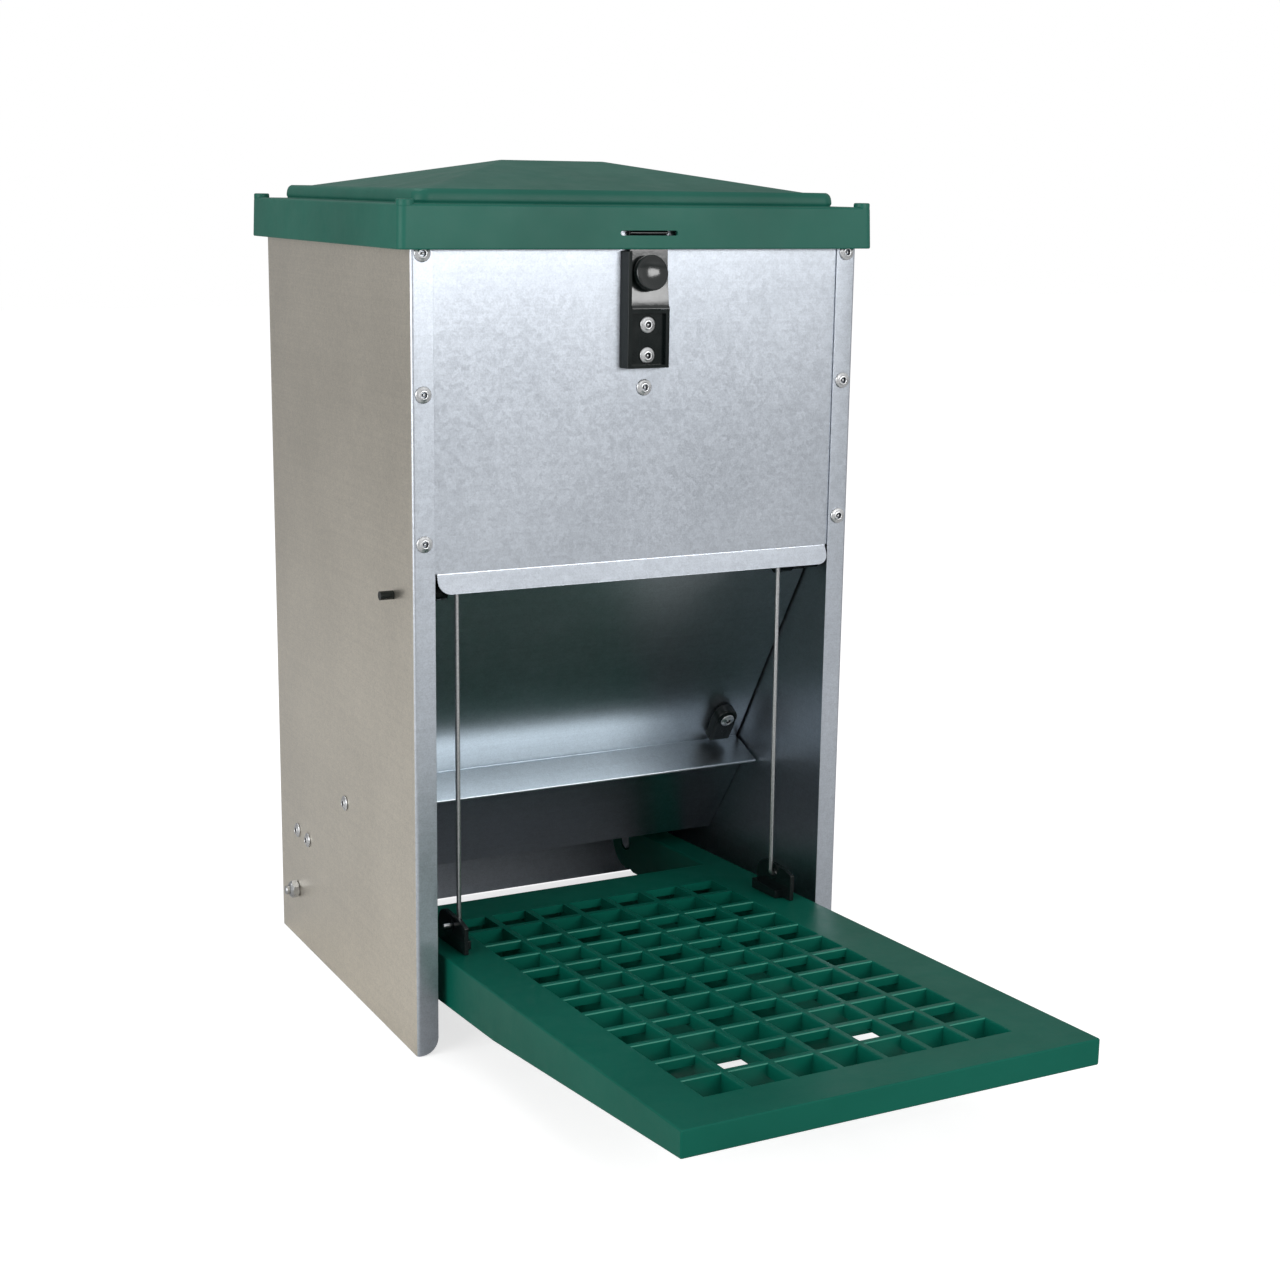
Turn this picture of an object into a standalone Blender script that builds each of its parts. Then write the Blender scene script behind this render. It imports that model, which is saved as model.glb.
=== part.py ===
"""Treadle poultry feeder: a folded steel hopper with a lid, a swinging flap and a grid treadle.

Metres, +Z up, +X to the feeder's right and +Y to its back. Every size below is measured from
the floor and from the plane of the front flanges, and the root empty then puts the origin on
the floor under the middle of the whole feeder, treadle included.
"""
from math import asin, atan2, cos, pi, radians, sin, tan

import bmesh
import bpy
from mathutils import Matrix, Vector

# Driving dimensions
HALF_WIDTH = 0.142
DEPTH = 0.250
SHEET = 0.0008
GAP = 0.0003
BEND_RADIUS = 0.0015
BEND_STEPS = 3
WALL_TOP = 0.4845
FLANGE = 0.0132
FOOT_CORNER = 0.010

INNER_HALF = HALF_WIDTH - SHEET
SHEET_HALF = 0.1405
FRONT_SHEET_Y = 1.5 * SHEET + GAP
BACK_SHEET_Y = DEPTH - FRONT_SHEET_Y

PANEL_FOLD_Z = 0.2845
PANEL_LIP_END = (-0.0038, 0.2737)
PANEL_LIP_HALF = 0.1275
PANEL_LIP_CORNER = 0.007

CHUTE_PATH = [(0.0026, 0.372), (0.0026, 0.396), (0.200, 0.298), (0.200, 0.112)]
TROUGH_PATH = [(0.1104, 0.1254), (0.1585, 0.0586), (0.2474, 0.0586), (0.2474, 0.088)]
TROUGH_CHEEK = [(0.1104, 0.1254), (0.1585, 0.0586), (0.2474, 0.0586), (0.2474, 0.088),
                (0.165, 0.092), (0.128, 0.1275)]
CHEEK_X = 0.1404

FLAP_FOLD = (0.1240, 0.1326)
FLAP_TOP = (0.0281, 0.2885)
FLAP_NOTCH_X = (0.1090, 0.1155)
FLAP_NOTCH_DEPTH = 0.014
FLAP_LIP = [(0.0970, 0.1208), (0.0968, 0.1220)]
FLAP_HALF = 0.1398
FLAP_PIVOT = (0.0315, 0.2690)
FLAP_HUB_RADIUS = 0.0055
FLAP_PIN_RADIUS = 0.0026
FLAP_PIN_END = 0.1502
SLEEVE_RADIUS = 0.0040
LEVER_X = (0.1105, 0.1140)
LEVER_ROOT_RADIUS = 0.0055
LEVER_EYE_RADIUS = 0.0060

TREADLE_PIVOT = (0.217, 0.035)
TREADLE_HALF = 0.1231
TREADLE_FRONT = -0.2835
TREADLE_BACK = 0.102
TREADLE_TOP_Z = 0.0725
TREADLE_SLOPE = 0.0528
TREADLE_FRONT_Z = 0.0578
TREADLE_KINK = (-0.065, 0.0320)
TREADLE_HEEL = (0.205, 0.0142)
TREADLE_END_RADIUS = 0.0205
TREADLE_WALL = 0.0025
TREADLE_SKIN = 0.003
ARM_INNER = 0.104
GRID_COLUMNS = 7
GRID_ROWS = 12
GRID_PITCH = 0.0268
GRID_RIB = 0.0018
GRID_DEPTH = 0.012
GRID_FRONT = -0.2525

ROD_RADIUS = 0.0014
ROD_X = 0.1072
ROD_END_X = 0.1172
ROD_FOOT = (0.0202, 0.070)
ROD_HEAD = (0.0220, 0.294)
ROD_BEND = 0.003

RIVET_HEAD = 0.00475
RIVET_SHANK = 0.0024
RIVET_HEIGHT = 0.0017
RIVET_TAIL = 0.0034
RIVET_TAIL_LENGTH = 0.0034
RIVET_STEPS = 10
RIVET_HOLE = RIVET_SHANK + GAP

FLANGE_RIVET_X = 0.1352
CHUTE_RIVET_Z = 0.385
FLANGE_RIVET_Z = (0.461, CHUTE_RIVET_Z, 0.3025)
TROUGH_RIVETS = ((0.119, 0.1216), (0.193, 0.0760), (0.2135, 0.0770))
BACK_RIVET_Z = (0.440, 0.240, 0.035)

BOLT_RADIUS = 0.0029
BOLT_BORE = 0.0032
NUT_RADIUS = 0.0060
NUT_HEIGHT = 0.0055
HEAD_HEIGHT = 0.0040
BOLT_END = HALF_WIDTH + 0.0085
SPACER_RADIUS = 0.0055
HEAD_POCKET = (0.0070, 0.0045)

LID_BOTTOM = 0.4631
LID_RIM = 0.4871
LID_WALL = 0.002
LID_SIDE = 0.1504
LID_FRONT = -0.0055
LID_CENTRE_Y = 0.125
RIDGE_HALF = 0.032
RIDGE_Z = 0.5123
LID_SLOT = (0.0182, 0.4706, 0.4734)
PEG_RADIUS = 0.0038
PEG_HEIGHT = 0.003
PEG_INSET = 0.0055

HINGE_AXIS = (0.2585, 0.457)
HINGE_X = 0.090
HINGE_PIN = 0.002
HINGE_PIN_LENGTH = 0.020
HINGE_BORE = 0.0023
BRACKET_END = 0.2630
BRACKET_EAR_X = 0.0074
BRACKET_Z = (0.4505, 0.4612)
BRACKET_RIVET_Z = 0.4563
LUG_HALF = 0.0055
LUG_RADIUS = 0.0042
LUG_ROOT = (0.2575, 0.4675)
LUG_ROOT_RADIUS = 0.0036

LATCH_FACE_Y = -0.0063
LATCH_BACK_Y = FRONT_SHEET_Y - SHEET / 2 - GAP
LATCH_BASE_HALF = 0.0150
LATCH_FACE_HALF = 0.0132
LATCH_BASE_Z = (0.3963, 0.4622)
LATCH_CAVITY_HALF = 0.01275
LATCH_STEP_Z = 0.4295
RECESS_HALF = 0.0108
RECESS_FLOOR_Y = -0.0038
RECESS_TOP_Z = 0.4272
RECESS_RIM = 0.0018
TONGUE_HALF = 0.0125
KNOB_RADIUS = 0.0100

# Colours, linear RGB
STEEL = (0.52, 0.53, 0.54, 1.0)
GREEN = (0.010, 0.130, 0.085, 1.0)
BLACK = (0.010, 0.012, 0.012, 1.0)
WIRE = (0.60, 0.60, 0.60, 1.0)

for old in list(bpy.data.objects):
    bpy.data.objects.remove(old, do_unlink=True)

feeder = bpy.data.collections.new("treadle_poultry_feeder")
cutters = bpy.data.collections.new("cutters")
bpy.context.scene.collection.children.link(feeder)
bpy.context.scene.collection.children.link(cutters)

# Turns a flat outline's x, y and thickness into the world's Y, Z and X
ACROSS_X = Matrix(((0, 0, 1, 0), (1, 0, 0, 0), (0, 1, 0, 0), (0, 0, 0, 1)))


def material(name, colour, roughness, metallic):
    made = bpy.data.materials.new(name)
    made.use_nodes = True
    shader = made.node_tree.nodes["Principled BSDF"]
    shader.inputs["Base Color"].default_value = colour
    shader.inputs["Roughness"].default_value = roughness
    shader.inputs["Metallic"].default_value = metallic
    return made


galvanised = material("galvanised_steel", STEEL, 0.35, 1.0)
green_plastic = material("green_plastic", GREEN, 0.45, 0.0)
black_plastic = material("black_plastic", BLACK, 0.25, 0.0)
bright_steel = material("bright_steel", WIRE, 0.25, 1.0)


def add_object(name, mesh, look):
    made = bpy.data.objects.new(name, mesh)
    feeder.objects.link(made)
    own = look.copy()
    own.name = name + "_finish"
    mesh.materials.clear()
    mesh.materials.append(own)
    return made


def as_cutter(piece):
    """Turn a piece into a hidden tool that other pieces are cut or joined with."""
    feeder.objects.unlink(piece)
    cutters.objects.link(piece)
    piece.hide_render = True
    piece.display_type = "WIRE"
    return piece


def boolean(piece, tool, operation):
    modifier = piece.modifiers.new(operation.lower(), "BOOLEAN")
    modifier.operation = operation
    modifier.object = tool
    modifier.solver = "EXACT"


def shade(mesh, angle=30):
    mesh.shade_smooth()
    mesh.set_sharp_from_angle(angle=radians(angle))


def arc(centre, radius, start, end, steps):
    """Points on an arc, its angles in degrees."""
    turns = [radians(start + (end - start) * step / steps) for step in range(steps + 1)]
    return [(centre[0] + radius * cos(turn), centre[1] + radius * sin(turn)) for turn in turns]


def rounded_path(points, radius, steps):
    """Replace each inner corner of a path by an arc of the bend radius."""
    rounded = [Vector(points[0])]
    for before, corner, after in zip(points, points[1:], points[2:]):
        corner = Vector(corner)
        back = (Vector(before) - corner).normalized()
        ahead = (Vector(after) - corner).normalized()
        half_angle = back.angle(ahead) / 2
        reach = min(radius / tan(half_angle), (Vector(before) - corner).length * 0.45,
                    (Vector(after) - corner).length * 0.45)
        fitted = reach * tan(half_angle)
        centre = corner + (back + ahead).normalized() * (fitted / sin(half_angle))
        start = corner + back * reach - centre
        sweep = start.angle_signed(corner + ahead * reach - centre)
        for step in range(steps + 1):
            rounded.append(centre + Matrix.Rotation(-sweep * step / steps, 2) @ start)
    rounded.append(Vector(points[-1]))
    return rounded


def path_length(path):
    return sum((b - a).length for a, b in zip(path, path[1:]))


def folded_sheet(name, path, outline, place, look=galvanised):
    """Bend a flat blank along a path.

    outline holds (width, distance along the path); place(width, a, b) gives the world point.
    The blank is the middle of the sheet, and Solidify gives it its thickness.
    """
    stops = [0.0]
    for a, b in zip(path, path[1:]):
        stops.append(stops[-1] + (b - a).length)
    blank = bmesh.new()
    blank.faces.new([blank.verts.new((width, along, 0)) for width, along in outline])
    for stop in stops[1:-1]:
        everything = blank.verts[:] + blank.edges[:] + blank.faces[:]
        bmesh.ops.bisect_plane(blank, geom=everything, plane_co=(0, stop, 0), plane_no=(0, 1, 0))
    for vertex in blank.verts:
        along = min(max(vertex.co.y, 0.0), stops[-1])
        leg = next(i for i in range(len(path) - 1) if along <= stops[i + 1] + 1e-7)
        share = (along - stops[leg]) / (stops[leg + 1] - stops[leg])
        spot = path[leg].lerp(path[leg + 1], share)
        vertex.co = place(vertex.co.x, spot.x, spot.y)
    mesh = bpy.data.meshes.new(name)
    blank.to_mesh(mesh)
    blank.free()
    piece = add_object(name, mesh, look)
    thickness = piece.modifiers.new("thickness", "SOLIDIFY")
    thickness.thickness = SHEET
    thickness.offset = 0
    thickness.use_even_offset = True
    return piece


def strip(half, path):
    """The outline of a plain strip, as wide as twice half."""
    length = path_length(path)
    return [(-half, 0), (half, 0), (half, length), (-half, length)]


def across(width, a, b):
    """Place a sheet whose width runs along X and whose path lies in the YZ plane."""
    return (width, a, b)


def flat_outline(name, points, thickness, frame, look):
    """Extrude a flat outline by its thickness, half to each side of the frame's plane."""
    curve = bpy.data.curves.new(name + "_outline", "CURVE")
    curve.dimensions = "2D"
    curve.fill_mode = "BOTH"
    curve.extrude = thickness / 2
    spline = curve.splines.new("POLY")
    spline.points.add(len(points) - 1)
    for knot, point in zip(spline.points, points):
        knot.co = (point[0], point[1], 0, 1)
    spline.use_cyclic_u = True
    return mesh_from_curve(name, curve, frame, look)


def mesh_from_curve(name, curve, frame, look):
    """Make a closed mesh of a curve, with its caps welded on."""
    guide = bpy.data.objects.new(name + "_guide", curve)
    bpy.context.scene.collection.objects.link(guide)
    bpy.context.view_layer.update()
    ready = guide.evaluated_get(bpy.context.evaluated_depsgraph_get())
    mesh = bpy.data.meshes.new_from_object(ready)
    mesh.name = name
    welded = bmesh.new()
    welded.from_mesh(mesh)
    bmesh.ops.remove_doubles(welded, verts=welded.verts, dist=1e-6)
    bmesh.ops.transform(welded, matrix=frame, verts=welded.verts)
    bmesh.ops.recalc_face_normals(welded, faces=welded.faces)
    welded.to_mesh(mesh)
    welded.free()
    bpy.data.objects.remove(guide)
    return add_object(name, mesh, look)


def block_across(name, outline, low, high, look):
    """Extrude a YZ outline from one X to another."""
    frame = Matrix.Translation(((low + high) / 2, 0, 0)) @ ACROSS_X
    return flat_outline(name, outline, abs(high - low), frame, look)


def box(name, low, high, look):
    shape = bmesh.new()
    bmesh.ops.create_cube(shape, size=1)
    for vertex in shape.verts:
        for axis in range(3):
            vertex.co[axis] = low[axis] if vertex.co[axis] < 0 else high[axis]
    mesh = bpy.data.meshes.new(name)
    shape.to_mesh(mesh)
    shape.free()
    return add_object(name, mesh, look)


def facing(direction):
    """The rotation that turns +Z to a direction."""
    return Vector((0, 0, 1)).rotation_difference(Vector(direction)).to_matrix().to_4x4()


def cylinder(name, centre, direction, radius, length, look, segments=20):
    shape = bmesh.new()
    bmesh.ops.create_cone(shape, cap_ends=True, segments=segments, radius1=radius,
                          radius2=radius, depth=length,
                          matrix=Matrix.Translation(centre) @ facing(direction))
    mesh = bpy.data.meshes.new(name)
    shape.to_mesh(mesh)
    shape.free()
    shade(mesh)
    return add_object(name, mesh, look)


def turned(name, profile, seat, direction, look, steps=20):
    """Turn a profile of (radius, height) about its axis, from its top down its outer side."""
    mesh = bpy.data.meshes.new(name)
    points = [(radius, 0, height) for radius, height in profile]
    mesh.from_pydata(points, [(i, i + 1) for i in range(len(points) - 1)], [])
    piece = add_object(name, mesh, look)
    piece.matrix_world = Matrix.Translation(seat) @ facing(direction)
    screw = piece.modifiers.new("turn", "SCREW")
    screw.steps = steps
    screw.render_steps = steps
    screw.use_merge_vertices = True
    screw.merge_threshold = 1e-5
    screw.use_smooth_shade = False
    return piece


def link_outline(first, first_radius, second, second_radius, steps=8):
    """The outline of a strap around two circles."""
    run = Vector(second) - Vector(first)
    heading = atan2(run.y, run.x) * 180 / pi
    lean = asin((first_radius - second_radius) / run.length) * 180 / pi
    near = arc(first, first_radius, heading + 90 - lean, heading + 270 + lean, steps)
    far = arc(second, second_radius, heading - 90 + lean, heading + 90 - lean, steps)
    return near + far


def drill(pieces, name, centre, direction, radius, length):
    """Cut one round hole through several pieces."""
    tool = as_cutter(cylinder(name, centre, direction, radius, length, galvanised, 16))
    for piece in pieces:
        boolean(piece, tool, "DIFFERENCE")


def rivet(name, seat, direction, grip, pieces):
    """A blind rivet through the pieces, its head just clear of the seat, its tail swollen."""
    tail = grip + 2 * GAP
    profile = [(0, RIVET_HEIGHT), (0.6 * RIVET_HEAD, 0.85 * RIVET_HEIGHT), (RIVET_HEAD, 0.0003),
               (RIVET_HEAD, 0), (RIVET_SHANK, 0), (RIVET_SHANK, -tail),
               (RIVET_TAIL, -tail - 0.0002), (RIVET_TAIL, -tail - 0.75 * RIVET_TAIL_LENGTH),
               (0, -tail - RIVET_TAIL_LENGTH)]
    outward = Vector(direction).normalized()
    seat = Vector(seat) + outward * GAP
    drill(pieces, name + "_hole", seat, direction, RIVET_HOLE, 2 * (tail + 0.001))
    return turned(name, profile, seat, direction, bright_steel, RIVET_STEPS)


# Hopper body: two folded side panels, front panel and back panel

def side_panel(name, side):
    """A wall with a flange turned in along its front and its back edge."""
    front = SHEET / 2
    wall = side * (HALF_WIDTH - SHEET / 2)
    edge = side * (HALF_WIDTH - FLANGE)
    path = rounded_path([(edge, front), (wall, front), (wall, DEPTH - front),
                         (edge, DEPTH - front)], BEND_RADIUS, BEND_STEPS)
    length = path_length(path)
    radius = FOOT_CORNER
    front_foot = arc((radius, radius), radius, 270, 180, 4)
    back_foot = arc((radius, length - radius), radius, 180, 90, 4)
    outline = [(WALL_TOP, 0)] + front_foot + back_foot + [(WALL_TOP, length)]
    return folded_sheet(name, path, outline, lambda z, x, y: (x, y, z))


side_left = side_panel("side_panel_left", -1)
side_right = side_panel("side_panel_right", 1)
sides = {-1: side_left, 1: side_right}
side_names = {-1: "left", 1: "right"}


def front_panel():
    """The front sheet, with a narrower lip bent forward along its bottom edge."""
    path = rounded_path([(FRONT_SHEET_Y, WALL_TOP), (FRONT_SHEET_Y, PANEL_FOLD_Z),
                         PANEL_LIP_END], BEND_RADIUS, BEND_STEPS)
    length = path_length(path)
    shoulder = WALL_TOP - PANEL_FOLD_Z - 0.0005
    radius = PANEL_LIP_CORNER
    right_corner = arc((PANEL_LIP_HALF - radius, length - radius), radius, 0, 90, 4)
    right = [(SHEET_HALF, 0), (SHEET_HALF, shoulder), (PANEL_LIP_HALF, shoulder)] + right_corner
    left = [(-x, s) for x, s in reversed(right)]
    return folded_sheet("front_panel", path, right + left, across)


front = front_panel()
back_path = [Vector((BACK_SHEET_Y, 0.0005)), Vector((BACK_SHEET_Y, WALL_TOP))]
back = folded_sheet("back_panel", back_path, strip(SHEET_HALF, back_path), across)

chute_path = rounded_path(CHUTE_PATH, BEND_RADIUS, BEND_STEPS)
chute = folded_sheet("chute_plate", chute_path, strip(SHEET_HALF, chute_path), across)


def trough_tray():
    """The feed tray: a folded strip with a cheek at each end."""
    path = rounded_path(TROUGH_PATH, BEND_RADIUS, BEND_STEPS)
    tray = folded_sheet("trough", path, strip(CHEEK_X, path), across)
    for side in (-1, 1):
        low = side * CHEEK_X - SHEET / 2
        cheek = block_across("trough_cheek", TROUGH_CHEEK, low, low + SHEET, galvanised)
        boolean(tray, as_cutter(cheek), "UNION")
    return tray


trough = trough_tray()


# Treadle: a moulded wedge with two arms, hollow underneath, and a grid in its plate

def treadle_top(y):
    return TREADLE_TOP_Z - TREADLE_SLOPE * (y - TREADLE_FRONT)


def treadle_outline():
    top_angle = asin((treadle_top(0.2345) - TREADLE_PIVOT[1]) / TREADLE_END_RADIUS) * 180 / pi
    heel = arc(TREADLE_PIVOT, TREADLE_END_RADIUS, -110, top_angle, 8)
    return [(TREADLE_FRONT, TREADLE_TOP_Z), (TREADLE_FRONT, TREADLE_FRONT_Z), TREADLE_KINK,
            TREADLE_HEEL] + heel


def treadle_hollow():
    """The space under the plate, inside the front and side walls."""
    start = TREADLE_FRONT + TREADLE_WALL
    end = TREADLE_BACK - TREADLE_WALL
    roof = [(y, treadle_top(y) - TREADLE_SKIN) for y in (start, end)]
    outline = [roof[0], (start, 0), (end, 0), roof[1]]
    inner = TREADLE_HALF - TREADLE_WALL
    return as_cutter(block_across("treadle_hollow", outline, -inner, inner, green_plastic))


def grid_tools():
    """The slab that the grid is cut from, and one tool that holds all its pockets."""
    half = GRID_COLUMNS * GRID_PITCH / 2 + GRID_RIB
    start = GRID_FRONT - GRID_RIB
    end = GRID_FRONT + GRID_ROWS * GRID_PITCH + GRID_RIB
    slab_top = [(y, treadle_top(y) - 0.001) for y in (start, end)]
    slab_foot = [(y, treadle_top(y) - GRID_DEPTH) for y in (end, start)]
    slab = block_across("grid_slab", slab_top + slab_foot, -half, half, green_plastic)
    pockets = bmesh.new()
    size = GRID_PITCH - GRID_RIB
    for row in range(GRID_ROWS):
        for column in range(GRID_COLUMNS):
            x = (column - (GRID_COLUMNS - 1) / 2) * GRID_PITCH
            y = GRID_FRONT + (row + 0.5) * GRID_PITCH
            spot = Matrix.Translation((x, y, treadle_top(y)))
            stretch = Matrix.Diagonal((size, size, 0.05, 1))
            bmesh.ops.create_cube(pockets, size=1, matrix=spot @ stretch)
    mesh = bpy.data.meshes.new("grid_pockets")
    pockets.to_mesh(mesh)
    pockets.free()
    return as_cutter(slab), as_cutter(add_object("grid_pockets", mesh, green_plastic))


treadle = block_across("treadle", treadle_outline(), -TREADLE_HALF, TREADLE_HALF, green_plastic)
yard = as_cutter(box("arm_space", (-ARM_INNER, TREADLE_BACK, 0), (ARM_INNER, DEPTH, 0.1),
                     green_plastic))
grid_slab, grid_pockets = grid_tools()
boolean(treadle, treadle_hollow(), "DIFFERENCE")
boolean(treadle, yard, "DIFFERENCE")
boolean(treadle, grid_slab, "UNION")
boolean(treadle, grid_pockets, "DIFFERENCE")


# Flap: a sheet with a lip at its foot, hung on two black pivots with levers

def flap_plate():
    """The swinging sheet, bent forward at its foot and notched at its top for the levers."""
    path = rounded_path(FLAP_LIP + [FLAP_FOLD, FLAP_TOP], BEND_RADIUS, BEND_STEPS)
    length = path_length(path)
    near, far = FLAP_NOTCH_X
    floor = length - FLAP_NOTCH_DEPTH
    right = [(FLAP_HALF, 0), (FLAP_HALF, length), (far, length), (far, floor), (near, floor),
             (near, length)]
    left = [(-x, s) for x, s in reversed(right)]
    return folded_sheet("flap_plate", path, right + left, across)


flap = flap_plate()

flap_run = (Vector(FLAP_TOP) - Vector(FLAP_FOLD)).normalized()
flap_up = Vector((0, flap_run.x, flap_run.y))
flap_out = Vector((1, 0, 0)).cross(flap_up)
FLAP_FRAME = Matrix.Translation((0, *FLAP_FOLD)) @ Matrix((Vector((1, 0, 0)), flap_up,
                                                          flap_out)).transposed().to_4x4()


def on_flap(x, up, out):
    """World point at a width, a height up the flap and a distance in front of its middle."""
    return FLAP_FRAME @ Vector((x, up, out))


FOOT_OUTLINE = [(0.1545, 0.0007), (0.1545, 0.0030), (0.1800, 0.0030), (0.1800, 0.0007)]
FOOT_X = (0.1165, 0.1380)
HUB_FOOT_OUTLINE = [(0.1525, 0.0007), (0.1525, 0.0030), (0.1600, 0.0085), (0.1690, 0.0085),
                    (0.1735, 0.0030), (0.1735, 0.0007)]
HUB_FOOT_X = (0.1165, 0.1215)
FOOT_RIVET = (0.1300, 0.1733, 0.0030)
SLOT_ENDS = ((0.0221, 0.2941), (0.0232, 0.2906))
SLOT_RADIUS = 0.0023
EYE = (0.0226, 0.2923)


def flap_pivot(side):
    """Hub and pin on the flap's axis, with a foot on the flap and a lever to the rod."""
    name = side_names[side]
    hub_start = LEVER_X[0]
    hub_end = INNER_HALF - 2 * GAP
    shoulder = HUB_FOOT_X[1]
    profile = [(0, FLAP_PIN_END), (FLAP_PIN_RADIUS, FLAP_PIN_END), (FLAP_PIN_RADIUS, hub_end),
               (SLEEVE_RADIUS, hub_end), (SLEEVE_RADIUS, shoulder),
               (FLAP_HUB_RADIUS, shoulder), (FLAP_HUB_RADIUS, hub_start), (0, hub_start)]
    hub = turned("flap_pivot_" + name, profile, (0, *FLAP_PIVOT), (side, 0, 0), black_plastic, 16)
    strap = link_outline(FLAP_PIVOT, LEVER_ROOT_RADIUS, EYE, LEVER_EYE_RADIUS)
    lever = block_across("pivot_lever", strap, side * LEVER_X[0], side * LEVER_X[1],
                         black_plastic)
    slot = block_across("lever_slot", link_outline(SLOT_ENDS[0], SLOT_RADIUS, SLOT_ENDS[1],
                                                   SLOT_RADIUS), side * 0.10, side * 0.12,
                        black_plastic)
    for outline, xs in ((FOOT_OUTLINE, FOOT_X), (HUB_FOOT_OUTLINE, HUB_FOOT_X)):
        points = [on_flap(0, up, out) for up, out in outline]
        foot = block_across("pivot_foot", [(p.y, p.z) for p in points], side * xs[0],
                            side * xs[1], black_plastic)
        boolean(hub, as_cutter(foot), "UNION")
    boolean(hub, as_cutter(lever), "UNION")
    boolean(hub, as_cutter(slot), "DIFFERENCE")
    x, up, out = FOOT_RIVET
    rivet("rivet_pivot_" + name, on_flap(side * x, up, out), flap_out, out + SHEET / 2,
          (hub, flap))
    drill((sides[side],), "pivot_bore_" + name, (side * HALF_WIDTH, *FLAP_PIVOT), (1, 0, 0),
          FLAP_PIN_RADIUS + 0.0005, 0.01)


BLOCK_X = 0.1204
BLOCK_HALF = 0.00775
BLOCK_FOOT = 0.0072
BLOCK_CROWN = 0.0265
BLOCK_DEPTH = 0.0084


def stop_block(side):
    """A black round-topped block riveted to the flap just above its lip."""
    name = side_names[side]
    crown = arc((side * BLOCK_X, BLOCK_CROWN), BLOCK_HALF, 0, 180, 8)
    foot = [(side * BLOCK_X - BLOCK_HALF, BLOCK_FOOT), (side * BLOCK_X + BLOCK_HALF, BLOCK_FOOT)]
    back = SHEET / 2 + GAP
    frame = FLAP_FRAME @ Matrix.Translation((0, 0, back + BLOCK_DEPTH / 2))
    block = flat_outline("stop_block_" + name, foot + crown, BLOCK_DEPTH, frame, black_plastic)
    rivet("rivet_stop_" + name, on_flap(side * BLOCK_X, BLOCK_CROWN, back + BLOCK_DEPTH),
          flap_out, back + BLOCK_DEPTH + SHEET / 2, (block, flap))


# Links: wire rods from the treadle's clips to the flap's levers

def link_rod(side):
    name = "link_rod_" + side_names[side]
    foot = Vector((ROD_X, *ROD_FOOT))
    head = Vector((ROD_X, *ROD_HEAD))
    up = (head - foot).normalized()
    inward = Vector((1, 0, 0)) * ROD_BEND
    corners = []
    for corner, first, last in ((foot, inward, up * ROD_BEND), (head, -up * ROD_BEND, inward)):
        for step in range(5):
            turn = radians(90 * step / 4)
            corners.append(corner + first * (1 - sin(turn)) + last * (1 - cos(turn)))
    points = [Vector((ROD_END_X, *ROD_FOOT))] + corners + [Vector((ROD_END_X, *ROD_HEAD))]
    curve = bpy.data.curves.new(name + "_path", "CURVE")
    curve.dimensions = "3D"
    curve.bevel_depth = ROD_RADIUS
    curve.bevel_resolution = 2
    curve.use_fill_caps = True
    spline = curve.splines.new("POLY")
    spline.points.add(len(points) - 1)
    for knot, point in zip(spline.points, points):
        knot.co = (side * point.x, point.y, point.z, 1)
    rod = mesh_from_curve(name, curve, Matrix.Identity(4), bright_steel)
    shade(rod.data)


CHEEK = (0.1095, 0.1124)
CHEEK_END = 0.0408
CHEEK_TOP = 0.0765
CHEEK_NOSE = 0.0740
SOLE_X = 0.1042
SOLE_Y = (0.009, 0.038)
SOLE_TOP = 0.0625


def rod_clip(side):
    """An upright black cheek on the treadle, on a low sole, that holds the foot of a rod."""
    name = "rod_clip_" + side_names[side]
    crown = arc((CHEEK_END - 0.011, CHEEK_TOP - 0.011), 0.011, 0, 90, 5)
    outline = [(0, treadle_top(0) + GAP), (CHEEK_END, treadle_top(CHEEK_END) + GAP)] + crown
    outline += [(0.0100, CHEEK_TOP), (0.0012, CHEEK_NOSE + 0.0010), (0, CHEEK_NOSE)]
    clip = block_across(name, outline, side * CHEEK[0], side * CHEEK[1], black_plastic)
    near, far = SOLE_Y
    sole_gap = 1.3 * GAP
    sole = [(near, treadle_top(near) + sole_gap), (far, treadle_top(far) + sole_gap),
            (far, SOLE_TOP), (near, SOLE_TOP)]
    sole = block_across("clip_sole", sole, side * SOLE_X, side * (CHEEK[1] - GAP), black_plastic)
    boolean(clip, as_cutter(sole), "UNION")
    drill((clip,), name + "_hole", (side * CHEEK[1], *ROD_FOOT), (1, 0, 0),
          ROD_RADIUS + 0.0004, 0.010)


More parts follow.
